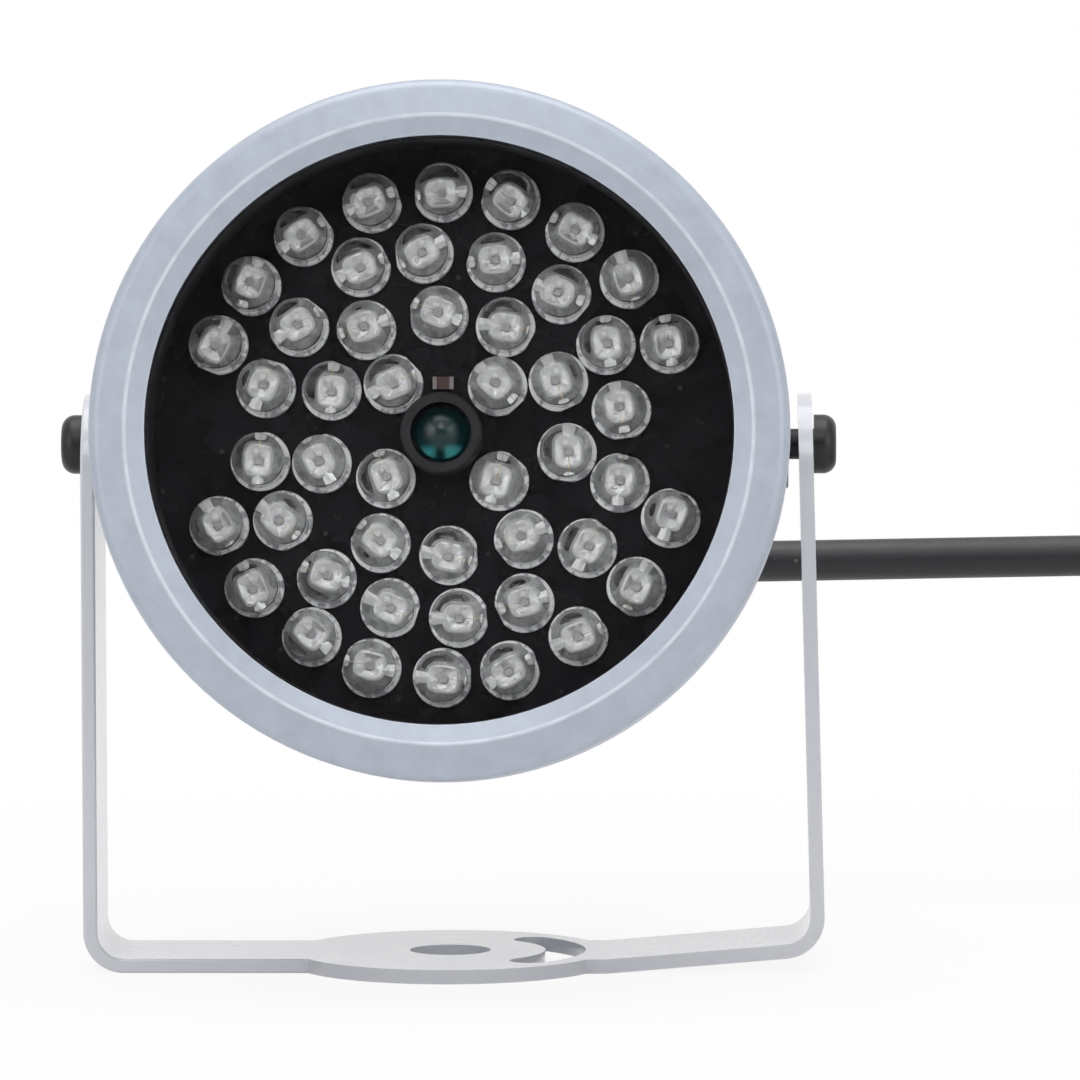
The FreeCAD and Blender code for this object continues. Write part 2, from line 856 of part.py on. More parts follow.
def make_socket_pin():
    """The centre pin, with a rounded tip."""
    radius = socket_pin_diameter / 2
    tip = socket_floor_y + socket_pin_length
    pin = turned(((radius, socket_floor_y, 0), (radius, tip, 0.5), (0, tip, 0), (0, socket_floor_y, 0)))
    return place_socket(pin)


os.makedirs("parts", exist_ok=True)

head_pieces = {
    "front_bezel": make_bezel,
    "housing": make_housing,
    "front_window": make_window,
    "window_gasket": make_gasket,
    "spacer_ring": make_spacer,
    "lamp_board": make_board,
    "infrared_lamps": make_lamps,
    "lamp_legs": make_lamp_legs,
    "light_sensor": make_sensor,
    "sensor_sleeve": make_sleeve,
    "current_chips": make_chips,
    "switching_transistor": make_transistor,
    "reverse_diode": make_diode,
    "pivot_screws": make_pivot_screws,
    "gland_body": make_gland_body,
    "gland_seal": make_gland_seal,
    "gland_nut": make_gland_nut,
    "gland_locknut": make_gland_locknut,
    "cable_entry": make_cable_entry,
    "supply_wires": make_supply_wires,
}
for name, make in head_pieces.items():
    save(name, place_head(make()))

front_chip_y = board_front_y - front_chip_size[1] / 2
save("front_chip", place_head(block(front_chip_size, (0, front_chip_y, front_chip_offset))))
sensor_legs = square_legs(leg_places(0, 0, 90), lamp_leg_width, board_front_y, board_back_y + lamp_leg_tail)
save("sensor_legs", place_head(Part.Compound(sensor_legs)))

save("bracket", make_bracket())
save("power_cable", swept_cable(cable_route(), cable_diameter, "power cable"))
save("cable_coil", make_coil())
save("coil_tie", make_coil_tie())
save("cable_tail", swept_cable(tail_route(), cable_diameter, "cable tail"))
save("socket_body", make_socket_body())
save("socket_contact", make_socket_contact())
save("socket_pin", make_socket_pin())
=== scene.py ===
"""Looks of a round infrared illuminator on its folded bracket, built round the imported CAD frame.

Lengths are metres in the row frame: Z up, the lamps look along -Y, the origin under the foot's
middle. The head's own frame is level, with its origin at the pivot; it rests tilted up.
"""

import sys

import json
import logging
import math
from dataclasses import dataclass, field
from enum import Enum

import bpy
import numpy as np
from mathutils import Matrix, Vector

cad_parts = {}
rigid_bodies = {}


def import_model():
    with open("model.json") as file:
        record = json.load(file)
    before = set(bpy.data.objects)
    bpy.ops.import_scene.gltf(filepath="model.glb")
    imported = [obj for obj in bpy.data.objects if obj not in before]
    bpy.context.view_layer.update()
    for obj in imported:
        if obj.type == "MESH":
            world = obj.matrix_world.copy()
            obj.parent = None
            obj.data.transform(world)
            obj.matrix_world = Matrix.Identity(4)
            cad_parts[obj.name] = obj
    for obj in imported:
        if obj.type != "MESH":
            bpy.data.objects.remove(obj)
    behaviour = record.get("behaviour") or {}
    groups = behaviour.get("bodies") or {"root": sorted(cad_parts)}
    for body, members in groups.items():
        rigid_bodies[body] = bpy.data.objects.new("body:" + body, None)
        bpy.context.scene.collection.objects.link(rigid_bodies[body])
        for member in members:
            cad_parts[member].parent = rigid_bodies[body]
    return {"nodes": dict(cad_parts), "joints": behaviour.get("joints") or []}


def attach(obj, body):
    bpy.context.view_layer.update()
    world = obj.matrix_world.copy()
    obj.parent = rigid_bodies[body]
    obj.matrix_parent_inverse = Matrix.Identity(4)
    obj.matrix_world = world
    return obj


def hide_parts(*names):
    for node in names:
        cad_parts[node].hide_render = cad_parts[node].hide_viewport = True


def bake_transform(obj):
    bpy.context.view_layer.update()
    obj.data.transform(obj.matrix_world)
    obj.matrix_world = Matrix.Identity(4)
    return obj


log = logging.getLogger("illuminator")
log.setLevel(logging.INFO)
log.addHandler(logging.StreamHandler(sys.stdout))
log.propagate = False

for leftover in list(bpy.data.objects):
    bpy.data.objects.remove(leftover)
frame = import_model()

Colour = tuple[float, float, float]
Point = tuple[float, float, float]
Array = np.ndarray
Rows = tuple[tuple[float, ...], ...]
Piece = bpy.types.Object
Material = bpy.types.Material
Group = bpy.types.NodeTree
Node = bpy.types.Node
Socket = bpy.types.NodeSocket

MM = 0.001
HEAD_TILT_UP = math.radians(7.0)
RIDGE_RADIUS = 30.0 * MM
TIP_RADIUS = 0.02 * MM
SHARP_ANGLE = math.radians(40.0)
RANDOM_SEED = 48
WHITE = (1.0, 1.0, 1.0)


class Body(Enum):
    """The two bodies that the pieces ride on."""

    HEAD = "head"
    BRACKET = "bracket"


# Meshes


@dataclass
class Patch:
    """A closed surface: its points, and its faces as rows of four corners.

    A triangle's fourth corner is -1.
    """

    points: Array
    faces: Array

    def moved(self, axes: Array, origins: Array) -> "Patch":
        """One copy of the patch in each of several frames.

        Each point p becomes origin + p0 * axis0 + p1 * axis1 + p2 * axis2, for all frames at once.

        Args:
            axes: The frames' axes, of shape (count, 3, 3), one axis in each row.
            origins: The frames' origins, of shape (count, 3).

        Returns:
            All the copies as one patch.
        """
        count = len(origins)
        points = np.einsum("pa,kax->kpx", self.points, axes) + origins[:, None, :]
        shift = (np.arange(count) * len(self.points))[:, None, None]
        faces = np.where(self.faces[None] < 0, -1, self.faces[None] + shift)
        return Patch(points.reshape(-1, 3), faces.reshape(-1, 4))

    def face_tops(self) -> Array:
        """The height of each face's highest corner."""
        return np.where(self.faces < 0, 0.0, self.points[self.faces, 2]).max(1)

    @staticmethod
    def joined(patches: list["Patch"]) -> "Patch":
        """Several patches as one, their faces renumbered."""
        starts = np.cumsum([0] + [len(p.points) for p in patches[:-1]])
        faces = [np.where(p.faces < 0, -1, p.faces + start) for p, start in zip(patches, starts)]
        return Patch(np.concatenate([p.points for p in patches]), np.concatenate(faces))


def skin(grid: Array, first_tip: Array, last_tip: Array) -> Patch:
    """Closed surface over a grid of points, each row a closed loop, ended by a tip on each side.

    Face (i, j) joins points (i, j), (i, j+1), (i+1, j+1) and (i+1, j), columns counted round the
    loop. A fan of triangles joins each end row to its tip. Faces point outwards where the loop
    runs anticlockwise about the direction from the first row to the last.

    Args:
        grid: Points of shape (rows, columns, 3).
        first_tip: The point that closes the first row.
        last_tip: The point that closes the last row.

    Returns:
        The closed patch.
    """
    rows, columns = grid.shape[:2]
    i = np.arange(rows - 1)[:, None] * columns
    j = np.arange(columns)[None, :]
    following = (j + 1) % columns
    quads = np.stack([i + j, i + following, i + columns + following, i + columns + j], axis=-1)
    first, last = rows * columns, rows * columns + 1
    end = (rows - 1) * columns
    loop, ahead = j[0], following[0]
    none = np.full(columns, -1)
    bottom = np.stack([np.full(columns, first), ahead, loop, none], axis=-1)
    top = np.stack([np.full(columns, last), end + loop, end + ahead, none], axis=-1)
    points = np.concatenate([grid.reshape(-1, 3), [first_tip, last_tip]])
    return Patch(points, np.concatenate([quads.reshape(-1, 4), bottom, top]))


def turned(profile: Array, sides: int) -> Patch:
    """A profile turned about the third axis: the point at angle a is (r cos a, r sin a, h).

    Args:
        profile: Rows of (r, h), from the bottom's rim round to the top; its ends close on the axis.
        sides: Number of steps round the axis.

    Returns:
        The closed patch.
    """
    angle = np.linspace(0, 2 * math.pi, sides, endpoint=False)
    r, h = profile[:, :1], profile[:, 1:]
    grid = np.stack([r * np.cos(angle), r * np.sin(angle), h + 0 * angle], axis=-1)
    return skin(grid, np.array([0, 0, profile[0, 1]]), np.array([0, 0, profile[-1, 1]]))


def dome_profile(radius: float, height: float, steps: int) -> Array:
    """A dome above its shoulder as rows of (r, h): r = R cos a, h = shoulder + R sin a.

    Args:
        radius: The dome's radius R.
        height: The tip's height.
        steps: Number of steps of the angle a.

    Returns:
        The rows, without the shoulder's own.
    """
    a = np.linspace(0, math.pi / 2, steps + 1)[1:-1]
    arc = np.stack([radius * np.cos(a), height - radius + radius * np.sin(a)], axis=1)
    return np.concatenate([arc, [(TIP_RADIUS, height)]])


def tube_along(points: Array, radius: float, sides: int, reference: Point) -> Patch:
    """A round tube along a path.

    At each point the tangent t is the central difference of the path, s = t x reference, and
    n = t x s. The loop's point at angle a is p + radius (s cos a + n sin a).

    Args:
        points: The path, of shape (count, 3).
        radius: The tube's radius.
        sides: Number of points round the tube.
        reference: A direction that the path never runs along.

    Returns:
        The closed patch, with a flat cap at each end.
    """
    tangent = np.gradient(points, axis=0)
    tangent /= np.linalg.norm(tangent, axis=1, keepdims=True)
    side = np.cross(tangent, reference)
    side /= np.linalg.norm(side, axis=1, keepdims=True)
    normal = np.cross(tangent, side)
    angle = np.linspace(0, 2 * math.pi, sides, endpoint=False)[None, :, None]
    ring = side[:, None] * np.cos(angle) + normal[:, None] * np.sin(angle)
    return skin(points[:, None] + radius * ring, points[0], points[-1])


def rounded_bar(sections: Array, squareness: float = 5.0, sides: int = 16) -> Patch:
    """A bar with rounded corners, lofted up the third axis.

    Each section is the superellipse |x/a|^n + |y/b|^n = 1 about its own centre, with n the
    squareness: at angle t its point is (a sgn(cos t)|cos t|^(2/n), b sgn(sin t)|sin t|^(2/n)).

    Args:
        sections: Rows of (centre x, centre y, height, half width a, half depth b), upwards.
        squareness: The superellipse's power; 2 is round, and a large one is square.
        sides: Number of points round the bar.

    Returns:
        The closed patch.
    """
    t = np.linspace(0, 2 * math.pi, sides, endpoint=False)
    across = np.sign(np.cos(t)) * np.abs(np.cos(t)) ** (2 / squareness)
    along = np.sign(np.sin(t)) * np.abs(np.sin(t)) ** (2 / squareness)
    x, y, h, a, b = (sections[:, k : k + 1] for k in range(5))
    grid = np.stack([x + a * across, y + b * along, h + 0 * across], axis=-1)
    return skin(grid, sections[0, :3], sections[-1, :3])


def new_object(name: str, data: bpy.types.ID) -> Piece:
    """An object that carries the data, linked to the scene."""
    made = bpy.data.objects.new(name, data)
    bpy.context.scene.collection.objects.link(made)
    return made


def mesh_piece(name: str, patch: Patch) -> Piece:
    """A smooth-shaded mesh object with its place in its mesh."""
    mesh = bpy.data.meshes.new(name)
    faces = [row[:3] if row[3] < 0 else row for row in patch.faces.tolist()]
    mesh.from_pydata(patch.points.tolist(), [], faces)
    mesh.polygons.foreach_set("use_smooth", np.ones(len(mesh.polygons), bool))
    mesh.set_sharp_from_angle(angle=SHARP_ANGLE)
    mesh.update()
    return new_object(name, mesh)


def paint(piece: Piece, material: Material) -> None:
    """Gives the whole piece one material."""
    if piece.material_slots:
        for place in piece.material_slots:
            place.material = material
    else:
        piece.data.materials.append(material)


def head_piece(name: str, patch: Patch, material: Material) -> Piece:
    """A piece that turns with the head, with its material and that material's slot."""
    piece = mesh_piece(name, patch)
    paint(piece, material)
    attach(piece, Body.HEAD.value)
    return piece


def node_points(name: str) -> Array:
    """The vertices of a CAD node, of shape (count, 3), in the row frame."""
    mesh = frame["nodes"][name].data
    points = np.zeros(len(mesh.vertices) * 3, np.float32)
    mesh.vertices.foreach_get("co", points)
    return points.reshape(-1, 3).astype(float)


@dataclass
class HeadFrame:
    """The head's level frame and the way from it to the row frame and back."""

    pivot: Array = field(default_factory=lambda: np.array(frame["joints"][0]["pos_m"], float))

    def turn(self) -> Array:
        """The head's axes in the row frame, one in each row."""
        c, s = math.cos(HEAD_TILT_UP), math.sin(HEAD_TILT_UP)
        return np.array([[1, 0, 0], [0, c, -s], [0, s, c]])

    def to_row(self, points: Array) -> Array:
        """Head points in the row frame."""
        return points @ self.turn() + self.pivot

    def to_head(self, points: Array) -> Array:
        """Row points in the head frame."""
        return (points - self.pivot) @ self.turn().T


# Shader nodes


class Tree:
    """Adds and links the nodes of one shader tree."""

    def __init__(self, tree: Group) -> None:
        """Keeps the tree that the methods add to."""
        self.tree = tree

    def add(self, kind: str, inputs: dict | None = None, **settings) -> Node:
        """A new node.

        Args:
            kind: The node's type.
            inputs: Input name or number to a value, or to the socket that feeds it.
            **settings: The node's own properties, which are set first.

        Returns:
            The node.
        """
        node = self.tree.nodes.new(kind)
        for key, value in settings.items():
            setattr(node, key, value)
        for key, value in (inputs or {}).items():
            self.feed(node.inputs[key], value)
        return node

    def feed(self, socket: Socket, value: object) -> None:
        """Links a socket to another, or sets its value."""
        if isinstance(value, Socket):
            self.tree.links.new(value, socket)
        elif isinstance(value, tuple) and len(value) == 3 and socket.type == "RGBA":
            socket.default_value = (*value, 1.0)
        else:
            socket.default_value = value

    def coordinates(self, kind: str = "Object") -> Socket:
        """The coordinates of the shaded point."""
        return self.add("ShaderNodeTexCoord").outputs[kind]

    def math(self, operation: str, a: object, b: object = 0.0, clamp: bool = False) -> Socket:
        """The result of a Math node."""
        node = self.add("ShaderNodeMath", {0: a, 1: b}, operation=operation, use_clamp=clamp)
        return node.outputs[0]

    def measure(self, operation: str, a: Socket, b: object = (0.0, 0.0, 0.0)) -> Socket:
        """The number that a Vector Math node gives, such as a length or a dot product."""
        node = self.add("ShaderNodeVectorMath", {0: a, 1: b}, operation=operation)
        return node.outputs["Value"]

    def mix(self, share: object, a: object, b: object, blend: str = "MIX") -> Socket:
        """Colour a mixed with colour b by share."""
        inputs = {0: share, 6: a, 7: b}
        return self.add("ShaderNodeMix", inputs, data_type="RGBA", blend_type=blend).outputs[2]

    def span(
        self, value: Socket, low: float, high: float, to_low: float = 0.0, to_high: float = 1.0
    ) -> Socket:
        """Value carried smoothly from the range low..high to to_low..to_high."""
        inputs = {0: value, 1: low, 2: high, 3: to_low, 4: to_high}
        return self.add("ShaderNodeMapRange", inputs, interpolation_type="SMOOTHSTEP").outputs[0]

    def noise(
        self, where: Socket, scale: object, detail: float = 2.0, roughness: float = 0.5
    ) -> Socket:
        """The value of a Noise texture at the given place."""
        inputs = {"Vector": where, "Scale": scale, "Detail": detail, "Roughness": roughness}
        return self.add("ShaderNodeTexNoise", inputs).outputs[0]

    def patches(self, where: Socket, scale: object, low: float, high: float) -> Socket:
        """Soft-edged patches whose values run from low to high."""
        return self.span(self.noise(where, scale, detail=3.0), 0.3, 0.6, low, high)

    def swing(self, cloud: Socket, amount: object) -> Socket:
        """How far a noise takes a value up or down: (cloud - 1/2) amount."""
        return self.math("MULTIPLY", self.math("SUBTRACT", cloud, 0.5), amount)

    def clouded(self, colour: Socket, cloud: Socket, amount: Socket) -> Socket:
        """A colour made lighter and darker by a noise: colour (1 + (cloud - 1/2) amount)."""
        level = self.math("ADD", 1.0, self.swing(cloud, amount))
        shade = self.add("ShaderNodeCombineColor", {0: level, 1: level, 2: level}).outputs[0]
        return self.mix(1.0, colour, shade, blend="MULTIPLY")

    def through(self, path: Node) -> Socket:
        """One for the rays that were mirrored or let through, from a Light Path node."""
        glossy, clear = path.outputs["Is Glossy Ray"], path.outputs["Is Transmission Ray"]
        return self.math("ADD", glossy, clear, clamp=True)

    def show_mixed(self, share: Socket, first: Node, second: Node) -> None:
        """Feeds the material's surface with two shaders mixed by share."""
        inputs = {0: share, 1: first.outputs[0], 2: second.outputs[0]}
        mixed = self.add("ShaderNodeMixShader", inputs).outputs[0]
        self.feed(self.tree.nodes["Material Output"].inputs["Surface"], mixed)


def new_effect(
    name: str, takes: tuple[str, ...], gives: tuple[str, ...]
) -> tuple[Tree, bpy.types.NodeOutputs, bpy.types.NodeInputs]:
    """An empty shader group with named inputs and outputs, of which Colour is a colour.

    Returns:
        The tree, the sockets that bring its inputs, and those that take its outputs.
    """
    group = bpy.data.node_groups.new(name, "ShaderNodeTree")
    for way, labels in (("INPUT", takes), ("OUTPUT", gives)):
        for label in labels:
            kind = "NodeSocketColor" if label == "Colour" else "NodeSocketFloat"
            group.interface.new_socket(name=label, in_out=way, socket_type=kind)
    tree = Tree(group)
    return tree, tree.add("NodeGroupInput").outputs, tree.add("NodeGroupOutput").inputs


def sprayed_coat() -> Group:
    """Sprayed paint: soft mottling of the colour, and the orange peel of its surface."""
    tree, takes, gives = new_effect(
        "sprayed_coat",
        ("Colour", "Mottle", "Mottle Scale", "Peel Scale", "Gloss Break", "Roughness"),
        ("Colour", "Roughness", "Height"),
    )
    where = tree.coordinates()
    cloud = tree.noise(where, takes["Mottle Scale"], detail=4.0, roughness=0.65)
    tree.feed(gives["Colour"], tree.clouded(takes["Colour"], cloud, takes["Mottle"]))
    patchy = tree.swing(cloud, takes["Gloss Break"])
    tree.feed(gives["Roughness"], tree.math("ADD", takes["Roughness"], patchy))
    tree.feed(gives["Height"], tree.noise(where, takes["Peel Scale"], detail=1.0))
    return tree.tree


def edge_rub() -> Group:
    """A mask of the outer edges, in patches, from the bevelled normal's cosine to the true one."""
    starts, whole = 0.996, 0.955
    tree, takes, gives = new_effect("edge_rub", ("Reach", "Grain Scale"), ("Mask",))
    bevel = tree.add("ShaderNodeBevel", {"Radius": takes["Reach"]}, samples=6).outputs[0]
    flat = tree.add("ShaderNodeNewGeometry").outputs["Normal"]
    edge = tree.span(tree.measure("DOT_PRODUCT", bevel, flat), starts, whole)
    grain = tree.patches(tree.coordinates(), takes["Grain Scale"], 0.35, 1.0)
    tree.feed(gives["Mask"], tree.math("MULTIPLY", edge, grain))
    return tree.tree


def moulded_grain() -> Group:
    """The fine even grain of moulded plastic or rubber, with a faint cloud in its colour."""
    cloud_to_grain, gloss_break = 0.06, 0.2
    tree, takes, gives = new_effect(
        "moulded_grain",
        ("Colour", "Grain Scale", "Cloud", "Roughness"),
        ("Colour", "Roughness", "Height"),
    )
    where = tree.coordinates()
    cloud_scale = tree.math("MULTIPLY", takes["Grain Scale"], cloud_to_grain)
    cloud = tree.noise(where, cloud_scale, detail=3.0)
    tree.feed(gives["Colour"], tree.clouded(takes["Colour"], cloud, takes["Cloud"]))
    patchy = tree.swing(cloud, gloss_break)
    tree.feed(gives["Roughness"], tree.math("ADD", takes["Roughness"], patchy))
    tree.feed(gives["Height"], tree.noise(where, takes["Grain Scale"], roughness=0.7))
    return tree.tree


def fine_dust() -> Group:
    """A thin scatter of pale specks: the middles of a few cells of a Voronoi texture."""
    speck_edge, speck_middle = 0.22, 0.1
    tree, takes, gives = new_effect("fine_dust", ("Scale", "Share"), ("Mask",))
    inputs = {"Vector": tree.coordinates(), "Scale": takes["Scale"]}
    cells = tree.add("ShaderNodeTexVoronoi", inputs)
    speck = tree.span(cells.outputs["Distance"], speck_edge, speck_middle)
    chosen = tree.add("ShaderNodeSeparateColor", {0: cells.outputs["Color"]}).outputs[0]
    rare = tree.math("LESS_THAN", chosen, takes["Share"])
    tree.feed(gives["Mask"], tree.math("MULTIPLY", speck, rare))
    return tree.tree


@dataclass(frozen=True)
class Effects:
    """The shader groups that the finishes share, and their places in a material's tree."""

    coat: Group = field(default_factory=sprayed_coat)
    rub: Group = field(default_factory=edge_rub)
    grain: Group = field(default_factory=moulded_grain)
    dust: Group = field(default_factory=fine_dust)

    def grained(
        self, tree: Tree, colour: Colour, scale: float, cloud: float, roughness: float
    ) -> bpy.types.NodeOutputs:
        """The grain's outputs for a colour; cloud is how much the colour swings."""
        inputs = {"Colour": colour, "Grain Scale": scale, "Cloud": cloud, "Roughness": roughness}
        return tree.add("ShaderNodeGroup", inputs, node_tree=self.grain).outputs

    def rubbed(self, tree: Tree, reach: float, scale: float, share: float) -> Socket:
        """The share of another colour along the edges, up to the given share."""
        inputs = {"Reach": reach, "Grain Scale": scale}
        rub = tree.add("ShaderNodeGroup", inputs, node_tree=self.rub)
        return tree.math("MULTIPLY", rub.outputs["Mask"], share)

    def dusted(
        self, tree: Tree, colour: Socket, speck: Colour, scale: float, share: float, cover: float
    ) -> Socket:
        """A colour partly covered by specks of dust in a share of the cells."""
        dust = tree.add("ShaderNodeGroup", {"Scale": scale, "Share": share}, node_tree=self.dust)
        return tree.mix(tree.math("MULTIPLY", dust.outputs["Mask"], cover), colour, speck)


def new_material(name: str, **plain: object) -> tuple[Material, Tree, Node]:
    """A material with one Principled shader whose plain values are set on its own sockets.

    Args:
        name: The material's name.
        **plain: Socket name, with underscores for spaces, to its value.

    Returns:
        The material, its tree and its Principled node.
    """
    material = bpy.data.materials.new(name)
    material.use_nodes = True
    tree = Tree(material.node_tree)
    shader = material.node_tree.nodes["Principled BSDF"]
    for key, value in plain.items():
        tree.feed(shader.inputs[key.replace("_", " ")], value)
    return material, tree, shader


def raise_bump(tree: Tree, shader: Node, height: Socket, depth: float) -> None:
    """Feeds the shader's normal from a height of 0 to 1 that stands for depth metres."""
    bump = tree.add("ShaderNodeBump", {"Height": height, "Distance": depth})
    tree.feed(shader.inputs["Normal"], bump.outputs[0])


def lay_on(
    tree: Tree, shader: Node, colour: Socket, roughness: Socket, height: Socket, depth: float
) -> None:
    """Feeds the shader's colour, its roughness and, from a height, its normal."""
    tree.feed(shader.inputs["Base Color"], colour)
    tree.feed(shader.inputs["Roughness"], roughness)
    raise_bump(tree, shader, height, depth)


@dataclass(frozen=True)
class PaintFinish:
    """Paint on metal, with its mottling, its orange peel and thin places along the edges, and a
    painted highlight along a ring where one is given.
    """

    name: str
    colour: Colour
    edge_colour: Colour
    metallic: float
    roughness: float
    mottle: float
    mottle_scale: float
    peel_scale: float
    peel_depth: float
    gloss_break: float = 0.25
    edge_reach: float = 0.35 * MM
    edge_scale: float = 900.0
    edge_share: float = 0.5
    lacquer: float = 0.0
    lacquer_roughness: float = 0.15
    # A lighter stripe in the edge colour along the ring at this radius: a painted highlight where
    # the ridge catches the light.
    highlight_ring: float | None = None
    highlight_reach: tuple[float, float] = (0.28 * MM, 0.06 * MM)
    highlight_scale: float = 500.0

    def material(self, effects: Effects) -> Material:
        """Builds the finish's material; a lacquer takes most of the gloss from the paint."""
        material, tree, shader = new_material(
            self.name,
            Metallic=self.metallic,
            Specular_IOR_Level=0.5 - 0.4 * self.lacquer,
            Coat_Weight=self.lacquer,
            Coat_Roughness=self.lacquer_roughness,
        )
        inputs = {
            "Colour": self.colour,
            "Mottle": self.mottle,
            "Mottle Scale": self.mottle_scale,
            "Peel Scale": self.peel_scale,
            "Gloss Break": self.gloss_break,
            "Roughness": self.roughness,
        }
        coat = tree.add("ShaderNodeGroup", inputs, node_tree=effects.coat).outputs
        thin_paint_and_highlight = effects.rubbed(tree, self.edge_reach, self.edge_scale, self.edge_share)
        # Along the ring, the edge colour is a painted highlight; along the edges it is thin paint.
        if self.highlight_ring is not None:
            thin_paint_and_highlight = tree.math("MAXIMUM", thin_paint_and_highlight, self.ridge_highlight_mask(tree))
        colour = tree.mix(thin_paint_and_highlight, coat["Colour"], self.edge_colour)
        lay_on(tree, shader, colour, coat["Roughness"], coat["Height"], self.peel_depth)
        return material

    def ridge_highlight_mask(self, tree: Tree) -> Socket:
        """The share of painted highlight, in patches, along a ridge at r = ring round the head's
        axis.
        """
        head = HeadFrame()
        where = tree.coordinates()
        shift = tuple(-head.turn() @ head.pivot)
        inputs = {"Vector": where, "Location": shift, "Rotation": (HEAD_TILT_UP, 0.0, 0.0)}
        level = tree.add("ShaderNodeMapping", inputs).outputs[0]
        inputs = {0: level, 1: (1.0, 0.0, 1.0)}
        flat = tree.add("ShaderNodeVectorMath", inputs, operation="MULTIPLY").outputs[0]
        r = tree.measure("LENGTH", flat)
        away = tree.math("ABSOLUTE", tree.math("SUBTRACT", r, self.highlight_ring))
        near = tree.span(away, *self.highlight_reach)
        return tree.math("MULTIPLY", near, tree.patches(where, self.highlight_scale, 0.45, 0.75))


@dataclass(frozen=True)
class MouldedFinish:
    """Moulded plastic or rubber, with dust in a share of its cells."""

    name: str
    colour: Colour
    roughness: float
    grain_scale: float
    grain_depth: float
    metallic: float = 0.0
    cloud: float = 0.25
    over_colour: Colour = (0.45, 0.44, 0.42)
    dust_share: float = 0.0

    def material(self, effects: Effects) -> Material:
        """Builds the finish's material."""
        material, tree, shader = new_material(self.name, Metallic=self.metallic)
        grain = effects.grained(tree, self.colour, self.grain_scale, self.cloud, self.roughness)
        colour = self.overlaid(effects, tree, grain["Colour"])
        lay_on(tree, shader, colour, grain["Roughness"], grain["Height"], self.grain_depth)
        return material

    def overlaid(self, effects: Effects, tree: Tree, colour: Socket) -> Socket:
        """The grain's colour under the dust, if there is any."""
        if self.dust_share == 0:
            return colour
        return effects.dusted(tree, colour, self.over_colour, 1500.0, self.dust_share, cover=0.35)


@dataclass(frozen=True)
class MetalFinish(MouldedFinish):
    """Bare, plated or blackened metal, rubbed to the over colour along its edges."""

    metallic: float = 1.0
    cloud: float = 0.2

    def overlaid(self, effects: Effects, tree: Tree, colour: Socket) -> Socket:
        """The grain's colour with that of the edges."""
        rubbed = effects.rubbed(tree, 0.15 * MM, scale=2500.0, share=0.4)
        return tree.mix(rubbed, colour, self.over_colour)


@dataclass(frozen=True)
class ClearFinish:
    """Clear, tinted or frosted glass, acrylic or epoxy that lets light through to what it holds.

    A noise coarser than the ripple adds haze, and turns the tint pale if that is asked for.
    """

    name: str
    tint: Colour
    ior: float
    roughness: float
    ripple_scale: float
    ripple_depth: float
    clearness: float = 1.0
    gloss: float = 0.5
    cloud_to_ripple: float = 0.3
    haze: float = 0.03
    haze_range: tuple[float, float] = (0.35, 0.75)
    pale: Colour | None = None
    pale_range: tuple[float, float] = (0.4, 0.52)

    def material(self) -> Material:
        """Builds the finish's material: shadow rays pass straight through, tinted."""
        material, tree, shader = new_material(
            self.name,
            Metallic=0.0,
            Transmission_Weight=self.clearness,
            IOR=self.ior,
            Base_Color=self.tint,
            Specular_IOR_Level=self.gloss,
        )
        where = tree.coordinates()
        ripple = tree.noise(where, self.ripple_scale, detail=1.0)
        cloud = tree.noise(where, self.ripple_scale * self.cloud_to_ripple, detail=3.0)
        rough = tree.span(cloud, *self.haze_range, self.roughness, self.roughness + self.haze)
        tree.feed(shader.inputs["Roughness"], rough)
        if self.pale is not None:
            mottled = tree.mix(tree.span(cloud, *self.pale_range), self.tint, self.pale)
            tree.feed(shader.inputs["Base Color"], mottled)
        raise_bump(tree, shader, ripple, self.ripple_depth)
        passing = tree.add("ShaderNodeBsdfTransparent", {"Color": self.tint})
        shadow = tree.add("ShaderNodeLightPath").outputs["Is Shadow Ray"]
        tree.show_mixed(shadow, shader, passing)
        return material


# Sub-assemblies


@dataclass
class PhotoCamera:
    """The camera at the photograph's angle and distance."""

    place: Point = (0.0298, -0.8714, 0.1137)
    yaw: float = math.radians(-1.37)
    pitch_down: float = math.radians(4.70)
    roll: float = math.radians(0.14)
    focal_length: float = 296.07
    sensor_width: float = 36.0
    nearest: float = 0.05

    def build(self) -> None:
        """Makes the camera and gives it to the scene."""
        reach = math.cos(self.pitch_down)
        forward = Vector(
            (math.sin(self.yaw) * reach, math.cos(self.yaw) * reach, -math.sin(self.pitch_down))
        )
        level = Vector((math.cos(self.yaw), -math.sin(self.yaw), 0.0))
        down = forward.cross(level)
        right = level * math.cos(self.roll) + down * math.sin(self.roll)
        below = down * math.cos(self.roll) - level * math.sin(self.roll)
        data = bpy.data.cameras.new("photo_camera")
        data.lens = self.focal_length
        data.sensor_width = self.sensor_width
        data.clip_start = self.nearest
        camera = new_object("photo_camera", data)
        turn = Matrix((right, -below, -forward)).transposed().to_4x4()
        camera.matrix_world = Matrix.Translation(self.place) @ turn
        bpy.context.scene.camera = camera


@dataclass(frozen=True)
class Softbox:
    """One soft light: a lit rectangle that faces the object."""

    name: str
    place: Point
    width: float
    height: float
    power: float
    aim: Point = (0.0, 0.0, 0.045)

    def build(self) -> None:
        """Makes the light, unseen by the camera."""
        data = bpy.data.lights.new(self.name, "AREA")
        data.shape = "RECTANGLE"
        data.size = self.width
        data.size_y = self.height
        data.energy = self.power
        light = new_object(self.name, data)
        light.location = self.place
        toward = Vector(self.aim) - Vector(self.place)
        light.rotation_euler = toward.to_track_quat("-Z", "Y").to_euler()
        light.visible_camera = False


